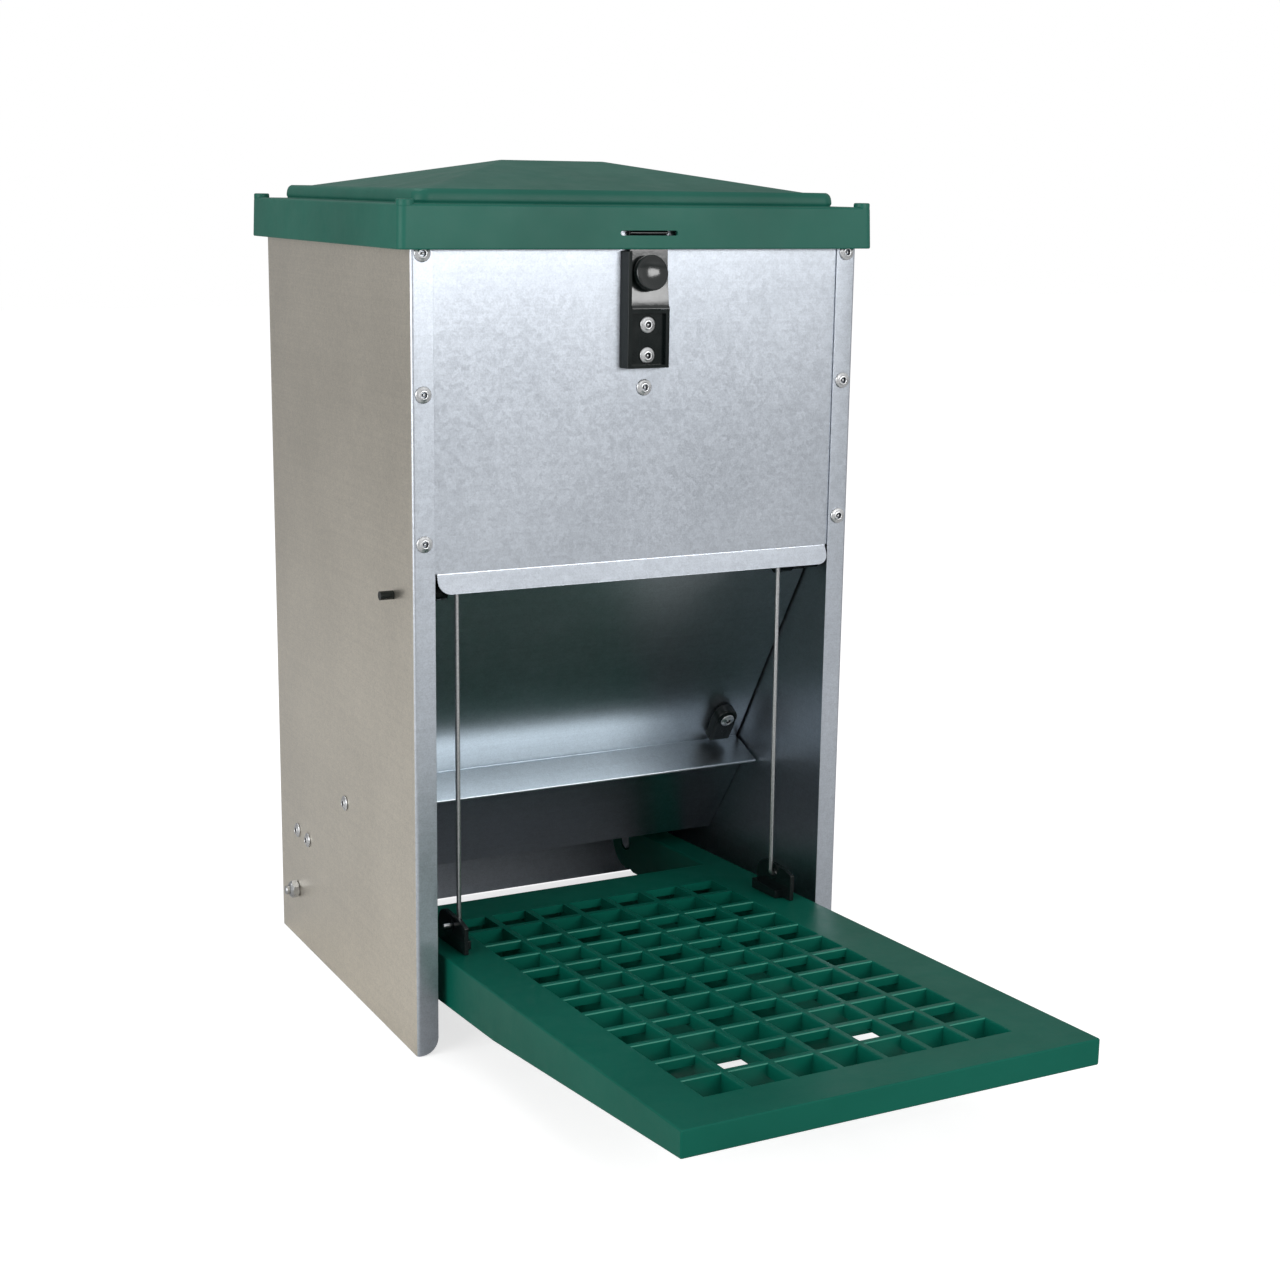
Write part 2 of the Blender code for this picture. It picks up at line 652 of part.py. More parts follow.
def treadle_pivot(side):
    """Bolt through arm, spacer and side panel, with a nut outside."""
    name = side_names[side]
    pocket_radius, pocket_depth = HEAD_POCKET
    head_seat = ARM_INNER + pocket_depth - GAP
    bolt = cylinder("pivot_bolt_" + name,
                    (side * (head_seat - HEAD_HEIGHT / 2), *TREADLE_PIVOT), (1, 0, 0),
                    NUT_RADIUS, HEAD_HEIGHT, bright_steel, 6)
    shank_start = head_seat - HEAD_HEIGHT / 4
    shank = cylinder("bolt_shank", (side * (shank_start + BOLT_END) / 2, *TREADLE_PIVOT),
                     (1, 0, 0), BOLT_RADIUS, BOLT_END - shank_start, bright_steel, 16)
    boolean(bolt, as_cutter(shank), "UNION")
    drill((treadle,), "head_pocket_" + name, (side * ARM_INNER, *TREADLE_PIVOT), (1, 0, 0),
          pocket_radius, 2 * pocket_depth)
    spacer_low = TREADLE_HALF + GAP
    spacer_high = INNER_HALF - GAP
    spacer = cylinder("pivot_spacer_" + name,
                      (side * (spacer_low + spacer_high) / 2, *TREADLE_PIVOT), (1, 0, 0),
                      SPACER_RADIUS, spacer_high - spacer_low, black_plastic, 16)
    nut_middle = HALF_WIDTH + GAP + NUT_HEIGHT / 2
    nut = cylinder("pivot_nut_" + name, (side * nut_middle, *TREADLE_PIVOT), (1, 0, 0),
                   NUT_RADIUS, NUT_HEIGHT, bright_steel, 6)
    drill((spacer, nut, treadle, sides[side]), "pivot_hole_" + name,
          (side * 0.13, *TREADLE_PIVOT), (1, 0, 0), BOLT_BORE, 0.058)


# Lid: one moulded shell, drawn as rings from the skirt's foot up to the ridge

def rounded_ring(half_x, half_y, radius, z):
    """A rectangle with round corners about the lid's middle."""
    ring = []
    for turn, (sx, sy) in ((0, (1, 1)), (90, (-1, 1)), (180, (-1, -1)), (270, (1, -1))):
        centre = (sx * (half_x - radius), LID_CENTRE_Y + sy * (half_y - radius))
        ring += [(x, y, z) for x, y in arc(centre, radius, turn, turn + 90, 3)]
    return ring


def lid_shell():
    half_y = LID_CENTRE_Y - LID_FRONT
    rings = [rounded_ring(LID_SIDE, half_y, 0.0035, LID_BOTTOM),
             rounded_ring(LID_SIDE - 0.0006, half_y - 0.0010, 0.0035, LID_RIM - 0.0008),
             rounded_ring(LID_SIDE - 0.0014, half_y - 0.0018, 0.0030, LID_RIM),
             rounded_ring(0.1345, 0.1140, 0.0080, LID_RIM),
             rounded_ring(0.1330, 0.1125, 0.0080, LID_RIM + 0.0012),
             rounded_ring(0.1322, 0.1117, 0.0080, LID_RIM + 0.0052),
             rounded_ring(0.1305, 0.1100, 0.0070, LID_RIM + 0.0070)]
    shape = bmesh.new()
    loops = [[shape.verts.new(point) for point in ring] for ring in rings]
    for lower, upper in zip(loops, loops[1:]):
        for i in range(len(lower)):
            j = (i + 1) % len(lower)
            shape.faces.new((lower[i], lower[j], upper[j], upper[i]))
    ridge = {1: shape.verts.new((RIDGE_HALF, LID_CENTRE_Y, RIDGE_Z)),
             -1: shape.verts.new((-RIDGE_HALF, LID_CENTRE_Y, RIDGE_Z))}
    top = loops[-1]
    for i in range(len(top)):
        j = (i + 1) % len(top)
        ends = [ridge[1 if vertex.co.x > 0 else -1] for vertex in (top[j], top[i])]
        shape.faces.new([top[i], top[j]] + (ends if ends[0] is not ends[1] else ends[:1]))
    mesh = bpy.data.meshes.new("lid")
    shape.to_mesh(mesh)
    shape.free()
    lid = add_object("lid", mesh, green_plastic)
    wall = lid.modifiers.new("wall", "SOLIDIFY")
    wall.thickness = LID_WALL
    wall.offset = -1
    wall.use_even_offset = True
    return lid


def finish_lid(lid):
    """Cut the latch slot, and add the corner pegs and the hinge lugs."""
    half, low, high = LID_SLOT
    slot = box("lid_slot", (-half, LID_FRONT - 0.002, low), (half, LID_FRONT + 0.006, high),
               green_plastic)
    boolean(lid, as_cutter(slot), "DIFFERENCE")
    peg_y = LID_CENTRE_Y - LID_FRONT - PEG_INSET
    for sx in (-1, 1):
        for sy in (-1, 1):
            spot = (sx * (LID_SIDE - PEG_INSET), LID_CENTRE_Y + sy * peg_y,
                    LID_RIM + PEG_HEIGHT / 2 - 0.0005)
            peg = cylinder("lid_peg", spot, (0, 0, 1), PEG_RADIUS, PEG_HEIGHT + 0.001,
                           green_plastic, 14)
            boolean(lid, as_cutter(peg), "UNION")
    for side in (-1, 1):
        outline = link_outline(HINGE_AXIS, LUG_RADIUS, LUG_ROOT, LUG_ROOT_RADIUS)
        lug = block_across("lid_lug", outline, side * HINGE_X - LUG_HALF,
                           side * HINGE_X + LUG_HALF, green_plastic)
        boolean(lid, as_cutter(lug), "UNION")
        drill((lid,), "lug_bore", (side * HINGE_X, *HINGE_AXIS), (1, 0, 0), HINGE_BORE, 0.014)


def hinge(side):
    """A steel bracket on the back panel with the pin that the lid's lug turns on."""
    name = side_names[side]
    base_y = BACK_SHEET_Y + SHEET + GAP
    ear = BRACKET_EAR_X
    path = rounded_path([(-ear, BRACKET_END), (-ear, base_y), (ear, base_y),
                         (ear, BRACKET_END)], BEND_RADIUS, BEND_STEPS)
    length = path_length(path)
    low, high = BRACKET_Z
    outline = [(low, 0), (high, 0), (high, length), (low, length)]
    bracket = folded_sheet("hinge_bracket_" + name, path, outline,
                           lambda z, x, y: (side * HINGE_X + x, y, z))
    cylinder("hinge_pin_" + name, (side * HINGE_X, *HINGE_AXIS), (1, 0, 0), HINGE_PIN,
             HINGE_PIN_LENGTH, bright_steel, 16)
    drill((bracket,), "bracket_bore_" + name, (side * HINGE_X, *HINGE_AXIS), (1, 0, 0),
          HINGE_BORE, 0.020)
    rivet("rivet_hinge_" + name, (side * HINGE_X, base_y + SHEET / 2, BRACKET_RIVET_Z),
          (0, 1, 0),
          2 * SHEET + GAP, (bracket, back))


# Latch: a black guide riveted to the front panel, with a springy tongue and a push knob

TONGUE_OUTLINE = [(-0.0066, 0.4306), (-0.0064, 0.4380), (-0.0055, 0.4450), (-0.0030, 0.4610),
                  (-0.0025, 0.4755), (-0.0006, 0.4755), (-0.0008, 0.4610), (-0.0033, 0.4450),
                  (-0.0040, 0.4380), (-0.0041, 0.4306)]
KNOB_SEAT = (-0.0048, 0.4495)
KNOB_LEAN = (-0.988, 0.154)
LATCH_HINGE = (-0.0053, 0.4310)
LATCH_RIVET_Z = (0.4208, 0.4034)


def latch_base():
    low, high = LATCH_BASE_Z
    guide = box("latch_base", (-LATCH_BASE_HALF, LATCH_FACE_Y, low),
                (LATCH_BASE_HALF, LATCH_BACK_Y, high), black_plastic)
    for vertex in guide.data.vertices:
        if vertex.co.y < 0:
            vertex.co.x *= LATCH_FACE_HALF / LATCH_BASE_HALF
    cavity = box("latch_cavity", (-LATCH_CAVITY_HALF, -0.02, LATCH_STEP_Z),
                 (LATCH_CAVITY_HALF, 0.02, 0.48), black_plastic)
    recess = box("latch_recess", (-RECESS_HALF, -0.02, low + RECESS_RIM),
                 (RECESS_HALF, RECESS_FLOOR_Y, RECESS_TOP_Z), black_plastic)
    boolean(guide, as_cutter(cavity), "DIFFERENCE")
    boolean(guide, as_cutter(recess), "DIFFERENCE")
    for count, z in enumerate(LATCH_RIVET_Z, start=1):
        grip = FRONT_SHEET_Y + SHEET / 2 - RECESS_FLOOR_Y
        rivet(f"rivet_latch_{count}", (0, RECESS_FLOOR_Y, z), (0, -1, 0), grip, (guide, front))


def latch_knob():
    """A round push knob with a dished face and a raised middle."""
    profile = [(0, 0.0042), (0.0030, 0.0038), (0.0050, 0.0024), (0.0070, 0.0026),
               (0.0084, 0.0054), (0.0092, 0.0054), (KNOB_RADIUS, 0.0044), (KNOB_RADIUS, GAP),
               (0, GAP)]
    return turned("latch_knob", profile, (0, *KNOB_SEAT), (0, *KNOB_LEAN), black_plastic, 24)


latch_base()
tongue = block_across("latch_tongue", TONGUE_OUTLINE, -TONGUE_HALF, TONGUE_HALF, black_plastic)
latch_knob()

lid = lid_shell()
finish_lid(lid)

for side in (-1, 1):
    label = side_names[side]
    flap_pivot(side)
    stop_block(side)
    link_rod(side)
    rod_clip(side)
    treadle_pivot(side)
    hinge(side)
    for count, z in enumerate(FLANGE_RIVET_Z, start=1):
        sheets = [sides[side], front] + ([chute] if z == CHUTE_RIVET_Z else [])
        grip = len(sheets) * (SHEET + GAP) - GAP
        rivet(f"rivet_front_{label}_{count}", (side * FLANGE_RIVET_X, 0, z), (0, -1, 0), grip,
              sheets)
    for count, z in enumerate(BACK_RIVET_Z, start=1):
        rivet(f"rivet_back_{label}_{count}", (side * FLANGE_RIVET_X, DEPTH, z), (0, 1, 0),
              2 * SHEET + GAP, (sides[side], back))
    for count, (y, z) in enumerate(TROUGH_RIVETS, start=1):
        rivet(f"rivet_trough_{label}_{count}", (side * HALF_WIDTH, y, z), (side, 0, 0),
              0.0020, (sides[side], trough))
rivet("rivet_front_centre", (0.0010, FRONT_SHEET_Y - SHEET / 2, 0.3848), (0, -1, 0),
      2 * SHEET + GAP, (front, chute))

# Root and joints: an empty on each axis carries the pieces that move there

def pieces_named(*starts):
    meshes = [piece for piece in feeder.objects if piece.type == "MESH"]
    return [piece for piece in meshes if piece.name.startswith(starts)]


def axis_empty(name, spot, parent=None):
    made = bpy.data.objects.new(name, None)
    made.empty_display_size = 0.02
    feeder.objects.link(made)
    made.location = Vector(spot) - (parent["spot"] if parent else Vector())
    made.parent = parent["empty"] if parent else None
    return {"empty": made, "spot": Vector(spot) if parent else Vector()}


def carry(axis, pieces):
    for piece in pieces:
        piece.parent = axis["empty"]
        piece.matrix_parent_inverse = Matrix.Translation(-axis["spot"])


root = axis_empty("feeder_root", (0, -(TREADLE_FRONT + BRACKET_END) / 2, 0))
carry(root, pieces_named("") + list(cutters.objects))
treadle_axis = axis_empty("treadle_hinge_axis", (0, *TREADLE_PIVOT), root)
carry(treadle_axis, pieces_named("treadle", "rod_clip"))
flap_axis = axis_empty("flap_hinge_axis", (0, *FLAP_PIVOT), root)
carry(flap_axis, pieces_named("flap_p", "stop_block", "rivet_stop", "rivet_pivot"))
carry(axis_empty("lid_hinge_axis", (0, *HINGE_AXIS), root), [lid])
carry(axis_empty("latch_hinge_axis", (0, *LATCH_HINGE), root), pieces_named("latch_t", "latch_k"))
for side in (-1, 1):
    label = side_names[side]
    rod_axis = axis_empty("rod_hinge_axis_" + label, (side * ROD_X, *ROD_FOOT), treadle_axis)
    carry(rod_axis, pieces_named("link_rod_" + label))
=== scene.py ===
"""The looks of the treadle poultry feeder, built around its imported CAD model.

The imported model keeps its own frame. Here every piece is drawn in the feeder's body frame, whose
Y is 0 on the plane of the front flanges, and is then moved back by FRONT_Y.
"""

from math import asin, atan2, cos, pi, radians, sin, tan

import bmesh
import bpy
from mathutils import Matrix, Vector


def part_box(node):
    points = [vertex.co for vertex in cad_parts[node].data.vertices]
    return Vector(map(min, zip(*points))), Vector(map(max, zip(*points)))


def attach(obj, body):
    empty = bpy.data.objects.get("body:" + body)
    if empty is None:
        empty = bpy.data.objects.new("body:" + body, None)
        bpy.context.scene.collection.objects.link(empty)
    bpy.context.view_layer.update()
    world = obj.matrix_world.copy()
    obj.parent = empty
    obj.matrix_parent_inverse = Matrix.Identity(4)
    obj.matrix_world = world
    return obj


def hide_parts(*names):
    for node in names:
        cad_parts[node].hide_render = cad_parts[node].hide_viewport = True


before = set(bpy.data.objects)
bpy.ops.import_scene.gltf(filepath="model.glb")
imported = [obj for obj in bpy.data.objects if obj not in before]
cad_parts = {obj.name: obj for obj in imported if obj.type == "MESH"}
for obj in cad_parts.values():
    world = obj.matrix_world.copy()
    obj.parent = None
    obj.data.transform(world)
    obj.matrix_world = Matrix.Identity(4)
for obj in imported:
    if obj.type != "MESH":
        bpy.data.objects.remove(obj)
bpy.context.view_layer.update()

# Places and sizes that the looks share with the CAD model, in metres
FRONT_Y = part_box("side_panel_left")[0].y
TO_ROW = Matrix.Translation((0, FRONT_Y, 0))
SIDE_NAMES = {-1: "left", 1: "right"}
HALF_WIDTH = 0.142
DEPTH = 0.250
SHEET = 0.0008
GAP = 0.0003
CUT_EDGE = 0.00016
BEND_RADIUS = 0.0015
BEND_STEPS = 6
WALL_TOP = 0.4845
FLANGE = 0.0132
FOOT_CORNER = 0.010
SHEET_HALF = 0.1405
FRONT_SHEET_Y = 1.5 * SHEET + GAP
BACK_SHEET_Y = DEPTH - FRONT_SHEET_Y

PANEL_FOLD_Z = 0.2845
PANEL_LIP_END = (-0.0038, 0.2737)
PANEL_LIP_HALF = 0.1275
PANEL_LIP_CORNER = 0.007
CHUTE_PATH = [(0.0026, 0.372), (0.0026, 0.396), (0.200, 0.298), (0.200, 0.112)]
TROUGH_PATH = [(0.1104, 0.1254), (0.1585, 0.0586), (0.2474, 0.0586), (0.2474, 0.088)]
TROUGH_CHEEK = TROUGH_PATH + [(0.165, 0.092), (0.128, 0.1275)]
CHEEK_X = 0.1404

FLAP_FOLD = (0.1240, 0.1326)
FLAP_TOP = (0.0281, 0.2885)
FLAP_LIP = [(0.0970, 0.1208), (0.0968, 0.1220)]
FLAP_NOTCH_X = (0.1090, 0.1155)
FLAP_NOTCH_DEPTH = 0.014
FLAP_HALF = 0.1398
FLAP_CREASE = 0.0004
FLAP_CREASE_HALF = 0.0017
STOP_X = 0.1204
STOP_HALF = 0.00775
STOP_FOOT = 0.0072
STOP_CROWN = 0.0265
STOP_DEPTH = 0.0084

TREADLE_PIVOT = (0.217, 0.035)
TREADLE_HALF = 0.1231
TREADLE_FRONT = -0.2835
TREADLE_BACK = 0.102
TREADLE_TOP_Z = 0.0725
TREADLE_SLOPE = 0.0528
TREADLE_FRONT_Z = 0.0578
TREADLE_KINK = (-0.065, 0.0320)
TREADLE_HEEL = (0.205, 0.0142)
TREADLE_END_RADIUS = 0.0205
TREADLE_END_Y = 0.2345
TREADLE_WALL = 0.0025
TREADLE_SKIN = 0.003
ARM_INNER = 0.104
HEAD_POCKET = (0.0070, 0.0045)
BOLT_RADIUS = 0.0029
BOLT_BORE = 0.0032
BOLT_END = HALF_WIDTH + 0.0085
BOLT_HEAD_HEIGHT = 0.004
HEXAGON_RADIUS = 0.0060
NUT_HEIGHT = 0.0042
SPACER_RADIUS = 0.0055

# The treadle's grid: where its cells start, how far apart they are, and its ribs
GRID_COLUMNS = 7
GRID_ROWS = 12
GRID_PITCH = 0.0268
GRID_LEFT = -0.0938
GRID_FRONT = -0.2525
CELL = 0.0226
CELL_CUT_DOWN = 0.006
CELL_CUT_UP = 0.004
RIM_ROUND = 0.0008
DEEP_COLUMN_LINES = (0, 1, 3, 4, 6, 7)
SHALLOW_COLUMN_DEPTH = 0.0073
SHALLOW_ROW_DEPTH = 0.0052
RIB_LIFT = 0.0015
RIB_SINK = 0.0008
# Row ribs end a little short of the outer column ribs and of their feet, so that no faces coincide
ROW_RIB_SHORT = 0.0001
ROW_RIB_RAISED = 0.0004
CLOSE = 1e-5

ROD_RADIUS = 0.0014
ROD_X = 0.1072
ROD_END_X = 0.1172
ROD_FOOT = (0.0202, 0.070)
ROD_HEAD = (0.0220, 0.294)
ROD_BEND = 0.003
ROD_SIDES = 16

CLIP_CHEEK_X = (0.1095, 0.1124)
CLIP_CHEEK_END = 0.0408
CLIP_TOP = 0.0765
CLIP_NOSE = 0.0740
CLIP_ROUND = 0.011
CLIP_SOLE_X = (0.1042, 0.1121)
CLIP_SOLE_Y = (0.009, 0.038)
CLIP_SOLE_TOP = 0.0625
# The boss round the rod's eye, as (radius, height)
CLIP_BOSS = [(0, 0.0020), (0.0034, 0.0020), (0.0040, 0.0014), (0.0040, -0.0014),
             (0.0034, -0.0020), (0, -0.0020)]
CLIP_BOSS_X = 0.1110

RIVET_HEAD = 0.00475
RIVET_SHANK = 0.0024
RIVET_HEIGHT = 0.0017
RIVET_TAIL = 0.0034
RIVET_TAIL_LENGTH = 0.0034
# The dark hole in a rivet's head, painted shade round the steel mandrel: its inner and outer
# radius, and its lowest and highest point
RIVET_HOLE = (0.00077, 0.00169)
RIVET_HOLE_HEIGHTS = (-0.001, 0.0012)
# Rivets on the flap: place across it, up it and out of it
FLAP_RIVETS = {"rivet_stop": (STOP_X, STOP_CROWN, STOP_DEPTH + SHEET / 2 + GAP),
               "rivet_pivot": (0.1300, 0.1733, 0.0030)}

LID_CENTRE_Y = 0.125
LID_RIM = 0.4871
LID_WALL = 0.002
LID_SIDE = 0.1504
LID_FRONT = -0.0055
RIDGE_HALF = 0.032
RIDGE_Z = 0.5123
HINGE_AXIS = (0.2585, 0.457)
HINGE_X = 0.090
LID_SLOT = (0.0168, 0.4720)
LID_SLOT_RADIUS = 0.0014
LUG_HALF = 0.0055
LUG_TOP = (0.2575, 0.4675)
LUG_RADII = (0.0042, 0.0036)
PEG_INSET = 0.0055
# A corner peg, as (radius, height)
LID_PEG = [(0, 0.0035), (0.0041, 0.0035), (0.0046, 0.0032), (0.0048, 0.0026), (0.0048, 0), (0, 0)]
# The outside of the lid, from the foot of its skirt up: how far in, corner radius, Z
LID_RINGS = [(0.0003, 0.0045, 0.4631), (0.0000, 0.0045, 0.4638), (0.0007, 0.0045, 0.4857),
             (0.0010, 0.0044, 0.4864), (0.0014, 0.0042, 0.4868), (0.0020, 0.0038, 0.4871),
             (0.0156, 0.0090, 0.4871), (0.0163, 0.0088, 0.4872), (0.0166, 0.0087, 0.4876),
             (0.0163, 0.0086, 0.4882), (0.0161, 0.0086, 0.4890), (0.0162, 0.0086, 0.4903),
             (0.0165, 0.0085, 0.4921), (0.0170, 0.0083, 0.4935), (0.0178, 0.0081, 0.4945),
             (0.0188, 0.0077, 0.4951), (0.0199, 0.0073, 0.4951), (0.0207, 0.0069, 0.4945),
             (0.0212, 0.0066, 0.4937), (0.0219, 0.0063, 0.4938)]

# The latch: the guide, and the tongue's outline as (Y, Z) from its foot up the front
GUIDE_HALVES = (0.0150, 0.0132)
GUIDE_FRONT = -0.0063
GUIDE_Z = (0.3963, 0.4622)
TONGUE_CHANNEL = ((-0.0113, -0.02, 0.4295), (0.02, 0.02, 0.48))
RECESS_HALF = 0.0108
RECESS_Z = (0.3981, 0.4272)
RECESS_FLOOR = -0.0038
RECESS_CORNER = 0.0001
LATCH_RIVETS_Z = (0.4208, 0.4034)
TONGUE_FRONT = [(-0.0066, 0.4296), (-0.0066, 0.4303), (-0.0055, 0.4319), (-0.0041, 0.4420),
                (-0.0034, 0.4530), (-0.0029, 0.4620), (-0.0025, 0.4688)]
TONGUE_BEAD = [(-0.0020, 0.4699), (-0.0018, 0.4705), (-0.0023, 0.4710), (-0.0029, 0.4715),
               (-0.00306, 0.4717), (-0.0031, 0.4720), (-0.00306, 0.4723), (-0.0029, 0.4725),
               (-0.0023, 0.4730), (-0.0018, 0.4735), (-0.0018, 0.4755)]
TONGUE_BACK = [(-0.0006, 0.4755), (-0.0008, 0.4610), (-0.0033, 0.4450), (-0.0040, 0.4380),
               (-0.0041, 0.4296)]
TONGUE_X = (-0.0110, 0.0130)
# The push knob, as (radius, height)
KNOB = [(0, 0.0031), (0.0015, 0.00313), (0.0030, 0.00322), (0.0045, 0.00345), (0.0060, 0.0039),
        (0.0072, 0.0044), (0.0082, 0.0049), (0.0088, 0.0053), (0.0092, 0.0055), (0.0096, 0.0053),
        (0.0099, 0.0049), (0.0100, 0.0044), (0.0100, 0.0012), (0.0096, GAP), (0, GAP)]
KNOB_SEAT = (0, -0.0048, 0.4495)
KNOB_AXIS = (0, -0.988, 0.154)

# Linear RGB
# Painted shading: the tint of the side walls' outside faces, standing in for how they are lit
PAINTED_OUTSIDE_TINT = (0.80, 0.75, 0.655, 1)
STEEL_LIGHT = (0.550, 0.590, 0.645, 1)
STEEL_DARK = (0.525, 0.565, 0.620, 1)
LID_GREEN = (0.009, 0.102, 0.073, 1)
TREADLE_GREEN = (0.0006, 0.094, 0.063, 1)
# A painted highlight: the paler green on the front-facing rims of the treadle's cells
RIM_HIGHLIGHT_GREEN = (0.020, 0.185, 0.130, 1)
BLACK_LOW = (0.003, 0.006, 0.006, 1)
BLACK_HIGH = (0.007, 0.010, 0.010, 1)

# How bright the studio is in front of the feeder, behind it, and where it is seen directly
WORLD_LIGHT = 0.66
WORLD_BEHIND = 0.36
WORLD_SEEN = 1.0
FLOOR_LIFT = 0.72

YAW = radians(27.637)
PITCH = radians(12.393)
ROLL = radians(0.826)
CAMERA_AT = Vector((-0.5556, -1.0616 + FRONT_Y, 0.4997))
LENS = 58.55
SENSOR = 36


# Materials

def feed(tree, socket, value):
    """Fill a socket with a value, or with what comes out of another socket."""
    if isinstance(value, bpy.types.NodeSocket):
        tree.links.new(value, socket)
    else:
        socket.default_value = value


def node(tree, kind, inputs=None, **settings):
    """Add a shader node, set its settings, and fill its inputs with values or other sockets."""
    made = tree.nodes.new("ShaderNode" + kind)
    for key, value in settings.items():
        setattr(made, key, value)
    for key, value in (inputs or {}).items():
        feed(tree, made.inputs[key], value)
    return made


def new_material(name, metallic, specular=0.5):
    """A new material, with its node tree, its shader and the object's own coordinates."""
    made = bpy.data.materials.new(name)
    made.use_nodes = True
    shader = made.node_tree.nodes["Principled BSDF"]
    shader.inputs["Metallic"].default_value = metallic
    shader.inputs["Specular IOR Level"].default_value = specular
    place = node(made.node_tree, "TexCoord").outputs["Object"]
    return made, made.node_tree, shader, place


def dress(tree, shader, colour, roughness, height, strength, distance):
    """Give a shader its colour, its roughness and a fine bump."""
    feed(tree, shader.inputs["Base Color"], colour)
    feed(tree, shader.inputs["Roughness"], roughness)
    bump = node(tree, "Bump", {"Height": height, "Strength": strength, "Distance": distance})
    feed(tree, shader.inputs["Normal"], bump.outputs["Normal"])


def noise(tree, place, scale, detail=4.0, roughness=0.55):
    """Cloudy noise from 0 to 1, finer for a larger scale."""
    return node(tree, "TexNoise", {"Vector": place, "Scale": scale, "Detail": detail,
                                   "Roughness": roughness}).outputs["Fac"]


def stretched(tree, place, scale):
    """Coordinates scaled by axis, which draws noise out into lines."""
    return node(tree, "Mapping", {"Vector": place, "Scale": scale}).outputs["Vector"]


def blend(tree, share, low, high):
    """Mix two colours, given as values or as sockets."""
    mixed = node(tree, "Mix", {"Factor": share}, data_type="RGBA")
    colours = [socket for socket in mixed.inputs if socket.type == "RGBA"]
    for socket, colour in zip(colours, (low, high)):
        feed(tree, socket, colour)
    return next(socket for socket in mixed.outputs if socket.type == "RGBA")


def ramp(tree, factor, low, high, start=0.0, end=1.0):
    """Turn a factor between start and end into a value or a colour between low and high."""
    limits = {"Value": factor, "From Min": start, "From Max": end}
    if isinstance(low, tuple):
        return blend(tree, node(tree, "MapRange", limits).outputs["Result"], low, high)
    limits.update({"To Min": low, "To Max": high})
    return node(tree, "MapRange", limits).outputs["Result"]


def scaled(colour, share, lift=0.0):
    """A colour made darker or paler by a share, and lifted by the same amount in each channel."""
    return tuple(share * channel + lift for channel in colour[:3]) + (1,)


def multiply(tree, colour, factor):
    """Darken or lighten a colour by a factor, or scale a vector."""
    made = node(tree, "VectorMath", {0: colour, 1: factor}, operation="MULTIPLY")
    return made.outputs["Vector"]


def combine(tree, operation, first, second):
    """The result of a sum or another operation on two values or sockets."""
    return node(tree, "Math", {0: first, 1: second}, operation=operation).outputs["Value"]


def galvanised(name, light=STEEL_LIGHT, dark=STEEL_DARK, rough=(0.30, 0.32), painted_outside_shading=False):
    """Zinc-coated sheet: small crystals, cloudy patches, fine flecks and faint rolling lines.

    With the outside option, the faces on the outside of the side walls have a warmer tint: painted
    shading that stands in for how those faces are lit, on the same steel.
    """
    made, tree, shader, place = new_material(name, 1.0)
    wander = node(tree, "TexNoise", {"Vector": place, "Scale": 300.0, "Detail": 2.0})
    shift = multiply(tree, wander.outputs["Color"], (0.004, 0.004, 0.004))
    bent = node(tree, "VectorMath", {0: place, 1: shift}, operation="ADD").outputs["Vector"]
    crystals = node(tree, "TexVoronoi", {"Vector": bent, "Scale": 420.0})
    crystal = node(tree, "SeparateColor", {"Color": crystals.outputs["Color"]}).outputs["Red"]
    clouds = noise(tree, place, 14.0, 5.0)
    flecks = noise(tree, place, 1100.0, 3.0, 0.6)
    streaks = noise(tree, stretched(tree, place, (5.0, 5.0, 900.0)), 1.0, 3.0)
    shade = combine(tree, "MULTIPLY", ramp(tree, crystal, 0.96, 1.03),
                    ramp(tree, flecks, 0.90, 1.05, 0.30, 0.60))
    shade = combine(tree, "MULTIPLY", shade, ramp(tree, streaks, 0.97, 1.02, 0.3, 0.7))
    colour = ramp(tree, clouds, dark, light, 0.32, 0.68)
    # Painted shading: the side walls' outside faces take a tint of their own for how they are lit
    if painted_outside_shading:
        x = node(tree, "SeparateXYZ", {"Vector": place}).outputs["X"]
        outside = combine(tree, "GREATER_THAN", combine(tree, "ABSOLUTE", x, 0.0),
                          HALF_WIDTH - SHEET / 4)
        wall = ramp(tree, clouds, scaled(PAINTED_OUTSIDE_TINT, 0.93), PAINTED_OUTSIDE_TINT, 0.32, 0.68)
        colour = blend(tree, outside, colour, wall)
    dullness = combine(tree, "ADD", ramp(tree, clouds, *rough, 0.3, 0.7),
                       ramp(tree, crystal, -0.02, 0.02))
    dress(tree, shader, multiply(tree, colour, shade), dullness, flecks, 0.05, 0.0001)
    return made


def moulded(name, colour, rough, specular):
    """Moulded green plastic: fine grain, slow colour drift, faint flow lines and rubbed patches."""
    made, tree, shader, place = new_material(name, 0.0, specular)
    drift = noise(tree, place, 9.0)
    grain = noise(tree, place, 900.0, 4.0, 0.6)
    flow = noise(tree, stretched(tree, place, (6.0, 40.0, 6.0)), 3.0, 5.0)
    tint = ramp(tree, drift, scaled(colour, 0.86), scaled(colour, 1.10, 0.002), 0.3, 0.7)
    tint = multiply(tree, tint, ramp(tree, flow, 0.985, 1.015, 0.35, 0.65))
    patches = noise(tree, place, 45.0, 6.0, 0.65)
    dress(tree, shader, tint, ramp(tree, patches, *rough, 0.3, 0.7), grain, 0.16, 0.0002)
    return made


